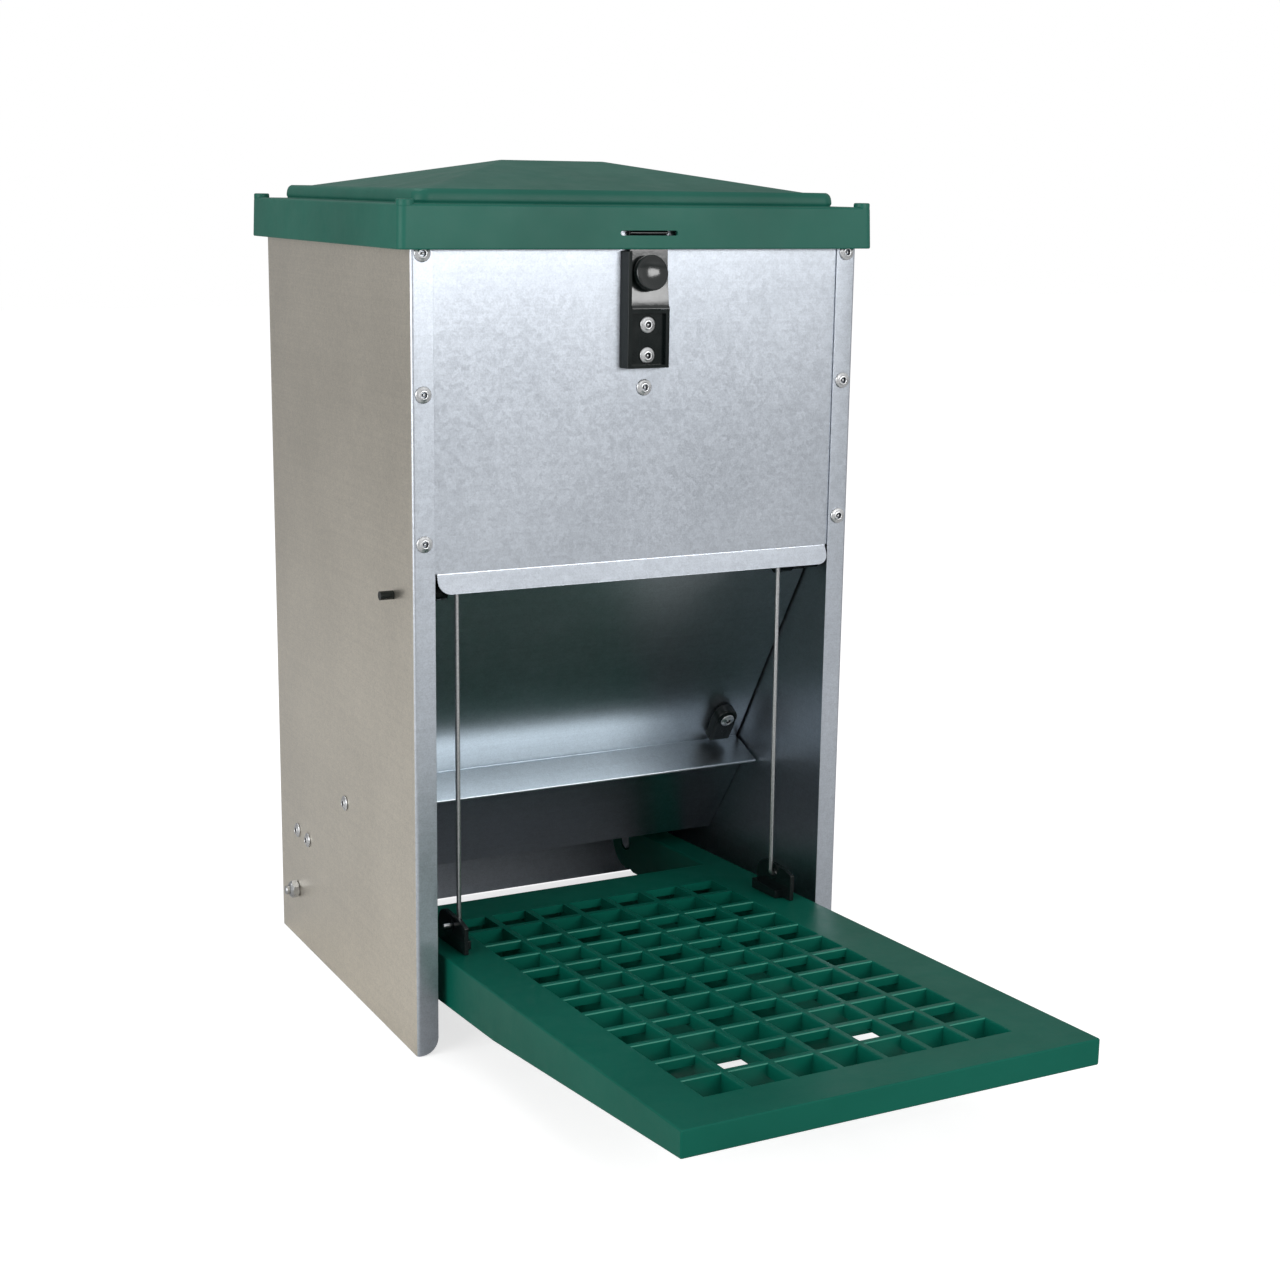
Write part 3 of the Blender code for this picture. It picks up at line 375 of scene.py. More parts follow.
def glossy_black(name, specular, rough):
    """Glossy black nylon: near-black with slight waves and hair scratches."""
    made, tree, shader, place = new_material(name, 0.0, specular)
    cloud = noise(tree, place, 70.0)
    scratches = noise(tree, stretched(tree, place, (900.0, 900.0, 40.0)), 1.0, 2.0)
    tint = ramp(tree, cloud, BLACK_LOW, BLACK_HIGH)
    worn = combine(tree, "ADD", ramp(tree, cloud, *rough, 0.3, 0.7),
                   ramp(tree, scratches, 0.0, 0.05, 0.55, 0.75))
    dress(tree, shader, tint, worn, noise(tree, place, 220.0, 2.0), 0.10, 0.0003)
    return made


def bright_metal(name, light, dark, rough, grain=(600.0, 600.0, 600.0)):
    """Bare or plated metal, with tool marks along its grain and small dull spots."""
    made, tree, shader, place = new_material(name, 1.0)
    spots = noise(tree, place, 900.0, 3.0, 0.6)
    marks = noise(tree, stretched(tree, place, grain), 1.0, 3.0)
    dress(tree, shader, ramp(tree, spots, dark, light, 0.35, 0.6),
          ramp(tree, marks, *rough, 0.35, 0.65), marks, 0.05, 0.0001)
    return made


# The side walls' steel, with painted shading on their outside faces
WALL_STEEL = galvanised("wall_steel", rough=(0.34, 0.36), painted_outside_shading=True)
PANEL_STEEL = galvanised("panel_steel")
FLAP_STEEL = galvanised("flap_steel", (0.54, 0.59, 0.63, 1), (0.52, 0.57, 0.61, 1), (0.31, 0.33))
LID_PLASTIC = moulded("lid_green", LID_GREEN, (0.40, 0.50), 0.24)
TREADLE_PLASTIC = moulded("treadle_green", TREADLE_GREEN, (0.32, 0.44), 0.13)
# Painted highlight for the cells' front-facing rims
RIM_HIGHLIGHT_PLASTIC = moulded("treadle_rim_painted_highlight", RIM_HIGHLIGHT_GREEN, (0.30, 0.42), 0.30)
BLACK = glossy_black("black_nylon", 0.24, (0.15, 0.25))
LATCH_BLACK = glossy_black("latch_nylon", 0.72, (0.12, 0.20))
ALUMINIUM = bright_metal("rivet_aluminium", (0.72, 0.73, 0.74, 1), (0.62, 0.63, 0.64, 1),
                         (0.26, 0.36))
WIRE = bright_metal("plated_wire", (0.56, 0.57, 0.57, 1), (0.44, 0.45, 0.45, 1), (0.28, 0.38),
                    (2500.0, 2500.0, 300.0))
ZINC = bright_metal("zinc_fastener", (0.52, 0.53, 0.54, 1), (0.40, 0.41, 0.42, 1), (0.28, 0.40))
# Dark steel for the mandrel's side, and painted shade on the wall and floor of a rivet's hole
MANDREL_AND_HOLE_SHADE = bright_metal("rivet_mandrel_and_hole_shade", (0.16, 0.16, 0.17, 1), (0.08, 0.08, 0.09, 1),
                       (0.35, 0.50))


# Making pieces

def finish_piece(name, shape, look, body, replaced, smooth=32, even=True):
    """Turn a bmesh in the body frame into a piece that rides on a body and replaces nodes.

    Edges sharper than smooth degrees stay sharp, and even keeps flat faces looking flat.
    """
    mesh = bpy.data.meshes.new(name)
    bmesh.ops.recalc_face_normals(shape, faces=shape.faces)
    shape.to_mesh(mesh)
    shape.free()
    mesh.materials.append(look)
    mesh.transform(TO_ROW)
    piece = bpy.data.objects.new(name, mesh)
    bpy.context.scene.collection.objects.link(piece)
    mesh.shade_smooth()
    mesh.set_sharp_from_angle(angle=radians(smooth))
    if even:
        piece.modifiers.new("flat_faces", "WEIGHTED_NORMAL").keep_sharp = True
    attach(piece, body)
    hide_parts(*replaced)
    return piece


def arc(centre, radius, start, end, steps):
    """Points on an arc, its angles in degrees."""
    turns = [radians(start + (end - start) * step / steps) for step in range(steps + 1)]
    return [(centre[0] + radius * cos(turn), centre[1] + radius * sin(turn)) for turn in turns]


def rounded_path(points, radius, steps):
    """Replace each inner corner of a path by an arc, tighter where its legs are too short."""
    rounded = [Vector(points[0])]
    for before, corner, after in zip(points, points[1:], points[2:]):
        corner = Vector(corner)
        back = (Vector(before) - corner).normalized()
        ahead = (Vector(after) - corner).normalized()
        half_angle = back.angle(ahead) / 2
        reach = min(radius / tan(half_angle), (Vector(before) - corner).length * 0.45,
                    (Vector(after) - corner).length * 0.45)
        fitted = reach * tan(half_angle)
        centre = corner + (back + ahead).normalized() * (fitted / sin(half_angle))
        start = corner + back * reach - centre
        sweep = start.angle_signed(corner + ahead * reach - centre)
        for step in range(steps + 1):
            rounded.append(centre + Matrix.Rotation(-sweep * step / steps, 2) @ start)
    rounded.append(Vector(points[-1]))
    return rounded


def path_length(path):
    """The length of a path of Vectors."""
    return sum((b - a).length for a, b in zip(path, path[1:]))


def link_outline(first, first_radius, second, second_radius, steps=16):
    """The outline of a strap around two circles."""
    run = Vector(second) - Vector(first)
    heading = atan2(run.y, run.x) * 180 / pi
    lean = asin((first_radius - second_radius) / run.length) * 180 / pi
    near = arc(first, first_radius, heading + 90 - lean, heading + 270 + lean, steps)
    far = arc(second, second_radius, heading - 90 + lean, heading + 90 - lean, steps)
    return near + far


def facing(direction):
    """The rotation that turns +Z to a direction."""
    return Vector((0, 0, 1)).rotation_difference(Vector(direction)).to_matrix().to_4x4()


def prism(outline, low, high, frame_of=lambda a, b, x: (x, a, b)):
    """A flat outline drawn out from low to high; frame_of gives the place of each point."""
    shape = bmesh.new()
    ends = [[shape.verts.new(frame_of(a, b, x)) for a, b in outline] for x in (low, high)]
    shape.faces.new(ends[0])
    shape.faces.new(list(reversed(ends[1])))
    count = len(outline)
    for i in range(count):
        j = (i + 1) % count
        shape.faces.new((ends[0][j], ends[0][i], ends[1][i], ends[1][j]))
    bmesh.ops.recalc_face_normals(shape, faces=shape.faces)
    return shape


def block(low, high):
    """A box between two corners."""
    outline = [(low[1], low[2]), (high[1], low[2]), (high[1], high[2]), (low[1], high[2])]
    return prism(outline, low[0], high[0])


def turned(profile, seat, direction, steps=40):
    """Turn a profile of (radius, height) about its axis. It starts and ends on the axis."""
    shape = bmesh.new()
    place = Matrix.Translation(seat) @ facing(direction)
    rings = []
    for radius, height in profile:
        circle = arc((0, 0), radius, 0, 360, steps)[:-1] if radius else [(0, 0)]
        rings.append([shape.verts.new(place @ Vector((x, y, height))) for x, y in circle])
    for upper, lower in zip(rings, rings[1:]):
        for i in range(steps):
            j = (i + 1) % steps
            corners = [upper[i % len(upper)], upper[j % len(upper)], lower[j % len(lower)],
                       lower[i % len(lower)]]
            shape.faces.new(list(dict.fromkeys(corners)))
    bmesh.ops.recalc_face_normals(shape, faces=shape.faces)
    return shape


def join_rings(shape, rings):
    """Fill the bands between rings of as many points each."""
    for lower, upper in zip(rings, rings[1:]):
        for i in range(len(lower)):
            j = (i + 1) % len(lower)
            shape.faces.new((lower[i], lower[j], upper[j], upper[i]))


def soften(shape, width, segments=2, angle=35):
    """Round the edges of a shape that are sharper than an angle."""
    bmesh.ops.recalc_face_normals(shape, faces=shape.faces)
    edges = [edge for edge in shape.edges
             if len(edge.link_faces) == 2 and edge.calc_face_angle() > radians(angle)]
    bmesh.ops.bevel(shape, geom=edges, offset=width, segments=segments, profile=0.5,
                    affect="EDGES", clamp_overlap=True)
    return shape


def drill(radius, reach, spot, direction, steps=24):
    """A cylinder to cut a hole with, reaching as far on both sides of a spot."""
    return turned([(0, reach), (radius, reach), (radius, -reach), (0, -reach)], spot, direction,
                  steps)


def as_object(shape):
    """Put a bmesh in a scratch object, so that modifiers can work on it."""
    mesh = bpy.data.meshes.new("scratch")
    shape.to_mesh(mesh)
    shape.free()
    scratch = bpy.data.objects.new("scratch", mesh)
    bpy.context.scene.collection.objects.link(scratch)
    return scratch


def modified(scratch):
    """The shape that a scratch object's modifiers make, as a new bmesh."""
    ready = scratch.evaluated_get(bpy.context.evaluated_depsgraph_get())
    result = bmesh.new()
    result.from_mesh(ready.to_mesh())
    ready.to_mesh_clear()
    return result


def carve(shape, *steps):
    """Join to a shape, or cut from it, each (operation, other shape) in turn."""
    piece = as_object(shape)
    tools = []
    for operation, other in steps:
        tools.append(as_object(other))
        modifier = piece.modifiers.new(operation, "BOOLEAN")
        modifier.operation = operation
        modifier.object = tools[-1]
        modifier.solver = "EXACT"
    result = modified(piece)
    for scratch in [piece] + tools:
        bpy.data.objects.remove(scratch)
    bmesh.ops.remove_doubles(result, verts=result.verts, dist=1e-6)
    return result


def folded_sheet(path, outline, place):
    """Bend a flat blank along a path; outline holds (width, distance along the path)."""
    stops = [0.0]
    for a, b in zip(path, path[1:]):
        stops.append(stops[-1] + (b - a).length)
    blank = bmesh.new()
    blank.faces.new([blank.verts.new((width, along, 0)) for width, along in outline])
    for stop in stops[1:-1]:
        everything = blank.verts[:] + blank.edges[:] + blank.faces[:]
        bmesh.ops.bisect_plane(blank, geom=everything, plane_co=(0, stop, 0), plane_no=(0, 1, 0))
    for vertex in blank.verts:
        along = min(max(vertex.co.y, 0.0), stops[-1])
        leg = next(i for i in range(len(path) - 1) if along <= stops[i + 1] + 1e-7)
        share = (along - stops[leg]) / (stops[leg + 1] - stops[leg])
        spot = path[leg].lerp(path[leg + 1], share)
        vertex.co = place(vertex.co.x, spot.x, spot.y)
    return blank


def across(width, a, b):
    """The place of a point on a sheet whose folds run along X."""
    return (width, a, b)


def sheet_piece(name, path, outline, look, body, place=across):
    """Fold a blank, and give it its thickness and slightly rounded cut edges."""
    piece = finish_piece(name + "_sheet", folded_sheet(path, outline, place), look, body,
                         [name], even=False)
    thickness = piece.modifiers.new("thickness", "SOLIDIFY")
    thickness.thickness = SHEET
    thickness.offset = 0
    thickness.use_even_offset = True
    rounding = piece.modifiers.new("rounding", "BEVEL")
    rounding.width = CUT_EDGE
    rounding.segments = 2
    rounding.limit_method = "ANGLE"
    rounding.angle_limit = radians(60)
    rounding.harden_normals = True


def strip(half, path):
    """The outline of a plain blank, as wide as asked and as long as a path."""
    length = path_length(path)
    return [(-half, 0), (half, 0), (half, length), (-half, length)]


def both_sides(right):
    """The right half of an outline, and its mirror image."""
    return right + [(-x, other) for x, other in reversed(right)]


# Folded sheets

def side_wall(side):
    """A side panel with a flange at the front and back, and round corners at its foot."""
    front = SHEET / 2
    wall = side * (HALF_WIDTH - SHEET / 2)
    edge = side * (HALF_WIDTH - FLANGE)
    path = rounded_path([(edge, front), (wall, front), (wall, DEPTH - front),
                         (edge, DEPTH - front)], BEND_RADIUS, BEND_STEPS)
    length = path_length(path)
    radius = FOOT_CORNER
    front_foot = arc((radius, radius), radius, 270, 180, 8)
    back_foot = arc((radius, length - radius), radius, 180, 90, 8)
    outline = [(WALL_TOP, 0)] + front_foot + back_foot + [(WALL_TOP, length)]
    sheet_piece("side_panel_" + SIDE_NAMES[side], path, outline, WALL_STEEL, "body",
                lambda z, x, y: (x, y, z))


def front_wall():
    """The front panel, whose lower end is narrower and folded forward as a lip."""
    path = rounded_path([(FRONT_SHEET_Y, WALL_TOP), (FRONT_SHEET_Y, PANEL_FOLD_Z),
                         PANEL_LIP_END], BEND_RADIUS, BEND_STEPS)
    length = path_length(path)
    shoulder = WALL_TOP - PANEL_FOLD_Z - 0.0005
    radius = PANEL_LIP_CORNER
    right_corner = arc((PANEL_LIP_HALF - radius, length - radius), radius, 0, 90, 8)
    right = [(SHEET_HALF, 0), (SHEET_HALF, shoulder), (PANEL_LIP_HALF, shoulder)] + right_corner
    sheet_piece("front_panel", path, both_sides(right), PANEL_STEEL, "body")


def inner_sheets():
    """The back panel, and the chute that carries feed down to the trough."""
    back = [Vector((BACK_SHEET_Y, 0.0005)), Vector((BACK_SHEET_Y, WALL_TOP))]
    sheet_piece("back_panel", back, strip(SHEET_HALF, back), PANEL_STEEL, "body")
    chute = rounded_path(CHUTE_PATH, BEND_RADIUS, BEND_STEPS)
    sheet_piece("chute_plate", chute, strip(SHEET_HALF, chute), PANEL_STEEL, "body")


def trough_tray():
    """The trough's bent tray, and a cheek at each end."""
    path = rounded_path(TROUGH_PATH, BEND_RADIUS, BEND_STEPS)
    sheet_piece("trough", path, strip(CHEEK_X, path), PANEL_STEEL, "body")
    for side in (-1, 1):
        low = side * CHEEK_X - SHEET / 2
        cheek = soften(prism(TROUGH_CHEEK, low, low + SHEET), CUT_EDGE, 2, 60)
        finish_piece("trough_cheek_" + SIDE_NAMES[side], cheek, PANEL_STEEL, "body",
                     ["trough"])


def flap_sheet():
    """The flap, creased at its lip and notched at the top for the levers."""
    fold = Vector(FLAP_FOLD)
    to_lip = (Vector(FLAP_LIP[-1]) - fold).normalized()
    to_top = (Vector(FLAP_TOP) - fold).normalized()
    inward = (to_lip + to_top).normalized() * FLAP_CREASE
    crease = [fold + to_lip * FLAP_CREASE_HALF + inward, fold - inward,
              fold + to_top * FLAP_CREASE_HALF + inward]
    path = rounded_path(FLAP_LIP + crease + [FLAP_TOP], BEND_RADIUS, BEND_STEPS)
    length = path_length(path)
    near, far = FLAP_NOTCH_X
    floor = length - FLAP_NOTCH_DEPTH
    right = [(FLAP_HALF, 0), (FLAP_HALF, length), (far, length), (far, floor), (near, floor),
             (near, length)]
    sheet_piece("flap_plate", path, both_sides(right), FLAP_STEEL, "flap")


# Flap frame: width, height up the flap, distance in front of its middle
flap_run = (Vector(FLAP_TOP) - Vector(FLAP_FOLD)).normalized()
flap_up = Vector((0, flap_run.x, flap_run.y))
flap_out = Vector((1, 0, 0)).cross(flap_up)
FLAP_FRAME = Matrix.Translation((0, *FLAP_FOLD)) @ Matrix((Vector((1, 0, 0)), flap_up,
                                                          flap_out)).transposed().to_4x4()


def on_flap(x, up, out):
    """A place given across the flap, up it and out of it."""
    return FLAP_FRAME @ Vector((x, up, out))


# Rivets and fasteners

def rivet_profile(shank):
    """A blind rivet, from the broken mandrel in its middle down to the swollen tail."""
    height = RIVET_HEIGHT
    return [(0, 0.0011), (0.0005, 0.0010), (0.00075, 0.0007), (0.00080, -0.0004),
            (0.0016, -0.0004), (0.0017, height * 0.80), (0.0019, height * 0.97),
            (0.0021, height), (0.0024, height * 0.97), (0.0027, height * 0.86),
            (0.0030, height * 0.72), (0.0034, height * 0.60), (0.0039, height * 0.48),
            (0.0044, height * 0.34), (0.0047, height * 0.20), (RIVET_HEAD, 0.0001),
            (RIVET_HEAD, 0), (RIVET_SHANK, 0), (RIVET_SHANK, -shank),
            (RIVET_TAIL, -shank - 0.0003), (RIVET_TAIL, -shank - 0.0025),
            (0.0020, -shank - 0.0033), (0, -shank - RIVET_TAIL_LENGTH)]


def rivet_piece(name, seat, direction, shank, body):
    """A rivet whose mandrel is darker steel than its sleeve, and whose hole round it is painted
    dark as shade.
    """
    shape = turned(rivet_profile(shank), seat, direction, 36)
    piece = finish_piece(name + "_detail", shape, ALUMINIUM, body, [name], 50)
    piece.data.materials.append(MANDREL_AND_HOLE_SHADE)
    axis = Vector(direction).normalized()
    middle = TO_ROW @ Vector(seat)
    inner, outer = RIVET_HOLE
    lowest, highest = RIVET_HOLE_HEIGHTS
    # The mandrel's side is dark steel; the hole's wall and floor are painted shade
    for face in piece.data.polygons:
        reach = face.center - middle
        height = reach.dot(axis)
        if inner < (reach - axis * height).length < outer and lowest < height < highest:
            face.material_index = 1


def straight_rivets():
    """Every rivet that points along an axis takes its place from its CAD node."""
    directions = {"rivet_front": (0, -1, 0), "rivet_latch": (0, -1, 0), "rivet_back": (0, 1, 0),
                  "rivet_hinge": (0, 1, 0), "rivet_trough_left": (-1, 0, 0),
                  "rivet_trough_right": (1, 0, 0)}
    for name in sorted(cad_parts):
        found = [way for start, way in directions.items() if name.startswith(start)]
        if not found:
            continue
        way = Vector(found[0])
        low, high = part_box(name)
        seat = (low + high) / 2 - Vector((0, FRONT_Y, 0))
        length = abs((high - low).dot(way))
        seat += way * (length / 2 - RIVET_HEIGHT)
        rivet_piece(name, seat, way, length - RIVET_HEIGHT - RIVET_TAIL_LENGTH, "body")


def flap_rivets(side):
    """The rivets that hold a stop block and a pivot on the flap."""
    for start, (x, up, out) in FLAP_RIVETS.items():
        shank = out + SHEET / 2 + 2 * GAP
        rivet_piece(start + "_" + SIDE_NAMES[side], on_flap(side * x, up, out + GAP), flap_out,
                    shank, "flap")


def hexagon(low, high):
    """A hexagonal prism on the treadle's axis, its corners turned down at both ends."""
    radius, crown = HEXAGON_RADIUS, 0.0006
    place = Matrix.Translation((0, *TREADLE_PIVOT))
    corners = arc((0, 0), radius, 30, 330, 5)
    nut = prism(corners, low, high, lambda a, b, x: place @ Vector((x, a, b)))
    half = abs(high - low) / 2
    turn = [(0, half), (radius * 0.86, half), (radius * 1.01, half - crown),
            (radius * 1.01, crown - half), (radius * 0.86, -half), (0, -half)]
    seat = place @ Vector(((low + high) / 2, 0, 0))
    return carve(nut, ("INTERSECT", turned(turn, seat, (1, 0, 0), 48)))


def treadle_bolt(side):
    """A hexagon bolt, its head sunk in the inside of the treadle's arm."""
    seat = ARM_INNER + HEAD_POCKET[1] - GAP
    spot = (side * seat, *TREADLE_PIVOT)
    length = BOLT_END - seat
    shank = turned([(0, length), (0.0023, length), (BOLT_RADIUS, length - 0.0006),
                    (BOLT_RADIUS, 0), (0, 0)], spot, (side, 0, 0), 32)
    head = hexagon(side * seat, side * (seat - BOLT_HEAD_HEIGHT))
    core = turned([(0, 0.0005), (0.0028, 0.0005), (0.0028, -0.001), (0, -0.001)], spot,
                  (side, 0, 0), 32)
    name = SIDE_NAMES[side]
    finish_piece("treadle_bolt_" + name, carve(shank, ("UNION", carve(head, ("UNION", core)))),
                 ZINC, "body", ["pivot_bolt_" + name])


def treadle_nut(side):
    """A hexagon nut with a round collar for its nylon ring."""
    low = HALF_WIDTH + GAP
    spot = (side * low, *TREADLE_PIVOT)
    nut = hexagon(side * low, side * (low + NUT_HEIGHT))
    collar = turned([(0, 0.0055), (0.0036, 0.0055), (0.0046, 0.0049), (0.0049, 0.0040),
                     (0.0049, 0.0020), (0, 0.0020)], spot, (side, 0, 0))
    bore = drill(BOLT_BORE, 0.02, spot, (side, 0, 0), 32)
    name = SIDE_NAMES[side]
    finish_piece("treadle_nut_" + name, carve(nut, ("UNION", collar), ("DIFFERENCE", bore)),
                 ZINC, "body", ["pivot_nut_" + name])


def treadle_spacer(side):
    """The tube that holds the treadle's arm off the wall."""
    low, high = TREADLE_HALF + GAP, HALF_WIDTH - SHEET - GAP
    half = (high - low) / 2
    round_off = 0.0004
    tube = turned([(0, half), (SPACER_RADIUS - round_off, half), (SPACER_RADIUS, half - round_off),
                   (SPACER_RADIUS, round_off - half), (SPACER_RADIUS - round_off, -half),
                   (0, -half)], (side * (low + half), *TREADLE_PIVOT), (side, 0, 0))
    bore = drill(BOLT_BORE, 0.02, (side * low, *TREADLE_PIVOT), (side, 0, 0), 32)
    name = SIDE_NAMES[side]
    finish_piece("treadle_spacer_" + name, carve(tube, ("DIFFERENCE", bore)), BLACK, "body",
                 ["pivot_spacer_" + name])


# Treadle

def treadle_top(y):
    """The height of the treadle's top, which falls to the back."""
    return TREADLE_TOP_Z - TREADLE_SLOPE * (y - TREADLE_FRONT)


def treadle_foot(y):
    """The lower edge of the treadle's side."""
    start = (TREADLE_FRONT, TREADLE_FRONT_Z)
    a, b = (start, TREADLE_KINK) if y < TREADLE_KINK[0] else (TREADLE_KINK, TREADLE_HEEL)
    return a[1] + (b[1] - a[1]) * (y - a[0]) / (b[0] - a[0])


def column_line(line):
    """The left and right faces of the rib between two columns of cells."""
    right = GRID_LEFT + line * GRID_PITCH
    return right - (GRID_PITCH - CELL), right


def row_line(line):
    """The front and back faces of the rib between two rows of cells."""
    back = GRID_FRONT + line * GRID_PITCH
    return back - (GRID_PITCH - CELL), back


def rib(x_range, y_range, depth, raised=0.0):
    """A rib under the plate, as deep as asked, or down to just short of the treadle's foot."""
    spots = list(y_range)
    if y_range[0] < TREADLE_KINK[0] < y_range[1]:
        spots.insert(1, TREADLE_KINK[0])
    roof = [(y, treadle_top(y) - RIB_SINK) for y in spots]
    if depth is None:
        floor = [(y, treadle_foot(y) + RIB_LIFT + raised) for y in spots]
    else:
        floor = [(y, treadle_top(y) - depth) for y in spots]
    return prism(roof + floor[::-1], *x_range)


def treadle_shell():
    """The wedge with its two arms, open underneath and between the arms."""
    rise = treadle_top(TREADLE_END_Y) - TREADLE_PIVOT[1]
    top_angle = asin(rise / TREADLE_END_RADIUS) * 180 / pi
    heel = arc(TREADLE_PIVOT, TREADLE_END_RADIUS, -110, top_angle, 20)
    outline = [(TREADLE_FRONT, TREADLE_TOP_Z), (TREADLE_FRONT, TREADLE_FRONT_Z), TREADLE_KINK,
               TREADLE_HEEL] + heel
    wedge = prism(outline, -TREADLE_HALF, TREADLE_HALF)
    start, end = TREADLE_FRONT + TREADLE_WALL, TREADLE_BACK - TREADLE_WALL
    hollow = [(start, treadle_top(start) - TREADLE_SKIN), (start, 0), (end, 0),
              (end, treadle_top(end) - TREADLE_SKIN)]
    inner = TREADLE_HALF - TREADLE_WALL
    shell = carve(wedge, ("DIFFERENCE", block((-ARM_INNER, TREADLE_BACK, 0),
                                              (ARM_INNER, DEPTH, 0.1))))
    shell = soften(shell, 0.0011, 3, 40)
    return carve(shell, ("DIFFERENCE", prism(hollow, -inner, inner)))


def grid_ribs():
    """Ribs between the cells: deep ones on most column lines and every other row line."""
    left, right = column_line(0)[0], column_line(GRID_COLUMNS)[1]
    front, back = row_line(0)[0], row_line(GRID_ROWS)[1]
    ribs = []
    for line in range(GRID_COLUMNS + 1):
        depth = None if line in DEEP_COLUMN_LINES else SHALLOW_COLUMN_DEPTH
        ribs.append(rib(column_line(line), (front, back), depth))
    for line in range(GRID_ROWS + 1):
        depth = None if line % 2 else SHALLOW_ROW_DEPTH
        ribs.append(rib((left + ROW_RIB_SHORT, right - ROW_RIB_SHORT), row_line(line), depth,
                        ROW_RIB_RAISED))
    return ribs


def add_cell(shape, column, row):
    """The box that one cell is cut with, its sides on the faces of the ribs around it."""
    xs = (column_line(column)[1], column_line(column + 1)[0])
    ys = (row_line(row)[1], row_line(row + 1)[0])
    cell = block((xs[0], ys[0], treadle_top(ys[1]) - CELL_CUT_DOWN),
                 (xs[1], ys[1], treadle_top(ys[0]) + CELL_CUT_UP))
    mesh = bpy.data.meshes.new("cell")
    cell.to_mesh(mesh)
    cell.free()
    shape.from_mesh(mesh)
    bpy.data.meshes.remove(mesh)


def round_cell_rims(shape):
    """Round the edges where the cells open in the plate's top; those that face front get a paler
    green, a painted highlight.
    """
    left, right = column_line(0)[1], column_line(GRID_COLUMNS)[0]
    front, back = row_line(0)[1], row_line(GRID_ROWS)[0]

    def at_rim(vertex):
        x, y, z = vertex.co
        return (abs(z - treadle_top(y)) < CLOSE and left - CLOSE < x < right + CLOSE
                and front - CLOSE < y < back + CLOSE)

    rims = [edge for edge in shape.edges
            if all(at_rim(vertex) for vertex in edge.verts)
            and len(edge.link_faces) == 2 and edge.calc_face_angle() > radians(50)]
    rounded = bmesh.ops.bevel(shape, geom=rims, offset=RIM_ROUND, segments=3, profile=0.5,
                              affect="EDGES", clamp_overlap=True)
    for face in rounded["faces"]:
        face.normal_update()
        # Rims that face front take the paler green, a painted highlight
        if face.normal.y < -0.3:
            face.material_index = 1


def treadle_piece():
    """The treadle's moulding: shell, ribs, cells, and the bolt holes in its arms."""
    steps = [("UNION", made) for made in grid_ribs()]
    plate = carve(treadle_shell(), *steps)
    pockets = bmesh.new()
    for row in range(GRID_ROWS):
        for column in range(GRID_COLUMNS):
            add_cell(pockets, column, row)
    plate = carve(plate, ("DIFFERENCE", pockets))
    holes = []
    for side in (-1, 1):
        spot = (side * ARM_INNER, *TREADLE_PIVOT)
        holes.append(("DIFFERENCE", drill(*HEAD_POCKET, spot, (1, 0, 0), 40)))
        holes.append(("DIFFERENCE", drill(BOLT_BORE, 0.03, spot, (1, 0, 0), 32)))
    plate = carve(plate, *holes)
    round_cell_rims(plate)
    piece = finish_piece("treadle_moulding", plate, TREADLE_PLASTIC, "treadle",
                         ["treadle"], 30)
    # The painted highlight on the rims that face front
    piece.data.materials.append(RIM_HIGHLIGHT_PLASTIC)


# Black fittings

def stop_block(side):
    """A round-topped block near the flap's lip, with a rivet through it."""
    x, crown, half = side * STOP_X, STOP_CROWN, STOP_HALF
    outline = [(x - half, STOP_FOOT), (x + half, STOP_FOOT)] + arc((x, crown), half, 0, 180, 24)
    back = SHEET / 2 + GAP
    shape = prism(outline, back, back + STOP_DEPTH, on_flap)
    hole = drill(RIVET_SHANK + GAP, 0.02, on_flap(x, crown, back), flap_out)
    shape = carve(soften(shape, 0.0016, 4, 40), ("DIFFERENCE", hole))
    name = "stop_block_" + SIDE_NAMES[side]
    finish_piece(name + "_detail", shape, BLACK, "flap", [name])


def rod_clip(side):
    """An upright cheek on a low sole, with an eye round the foot of the rod."""
    end = CLIP_CHEEK_END
    outline = [(0, treadle_top(0) + GAP), (end, treadle_top(end) + GAP)]
    outline += arc((end - CLIP_ROUND, CLIP_TOP - CLIP_ROUND), CLIP_ROUND, 0, 90, 12)
    outline += [(0.0100, CLIP_TOP), (0.0012, CLIP_NOSE + 0.0010), (0, CLIP_NOSE)]
    cheek = soften(prism(outline, *(side * x for x in CLIP_CHEEK_X)), 0.0004, 2, 40)
    near, far = CLIP_SOLE_Y
    sole = [(near, treadle_top(near) + 1.3 * GAP), (far, treadle_top(far) + 1.3 * GAP),
            (far, CLIP_SOLE_TOP), (near, CLIP_SOLE_TOP)]
    sole = soften(prism(sole, *(side * x for x in CLIP_SOLE_X)), 0.0004, 2, 40)
    boss = turned(CLIP_BOSS, (side * CLIP_BOSS_X, *ROD_FOOT), (side, 0, 0))
    hole = drill(ROD_RADIUS + 0.0004, 0.01, (side * CLIP_CHEEK_X[1], *ROD_FOOT), (1, 0, 0), 28)
    shape = carve(cheek, ("UNION", sole), ("UNION", boss), ("DIFFERENCE", hole))
    name = "rod_clip_" + SIDE_NAMES[side]
    finish_piece(name + "_detail", shape, BLACK, "treadle", [name])


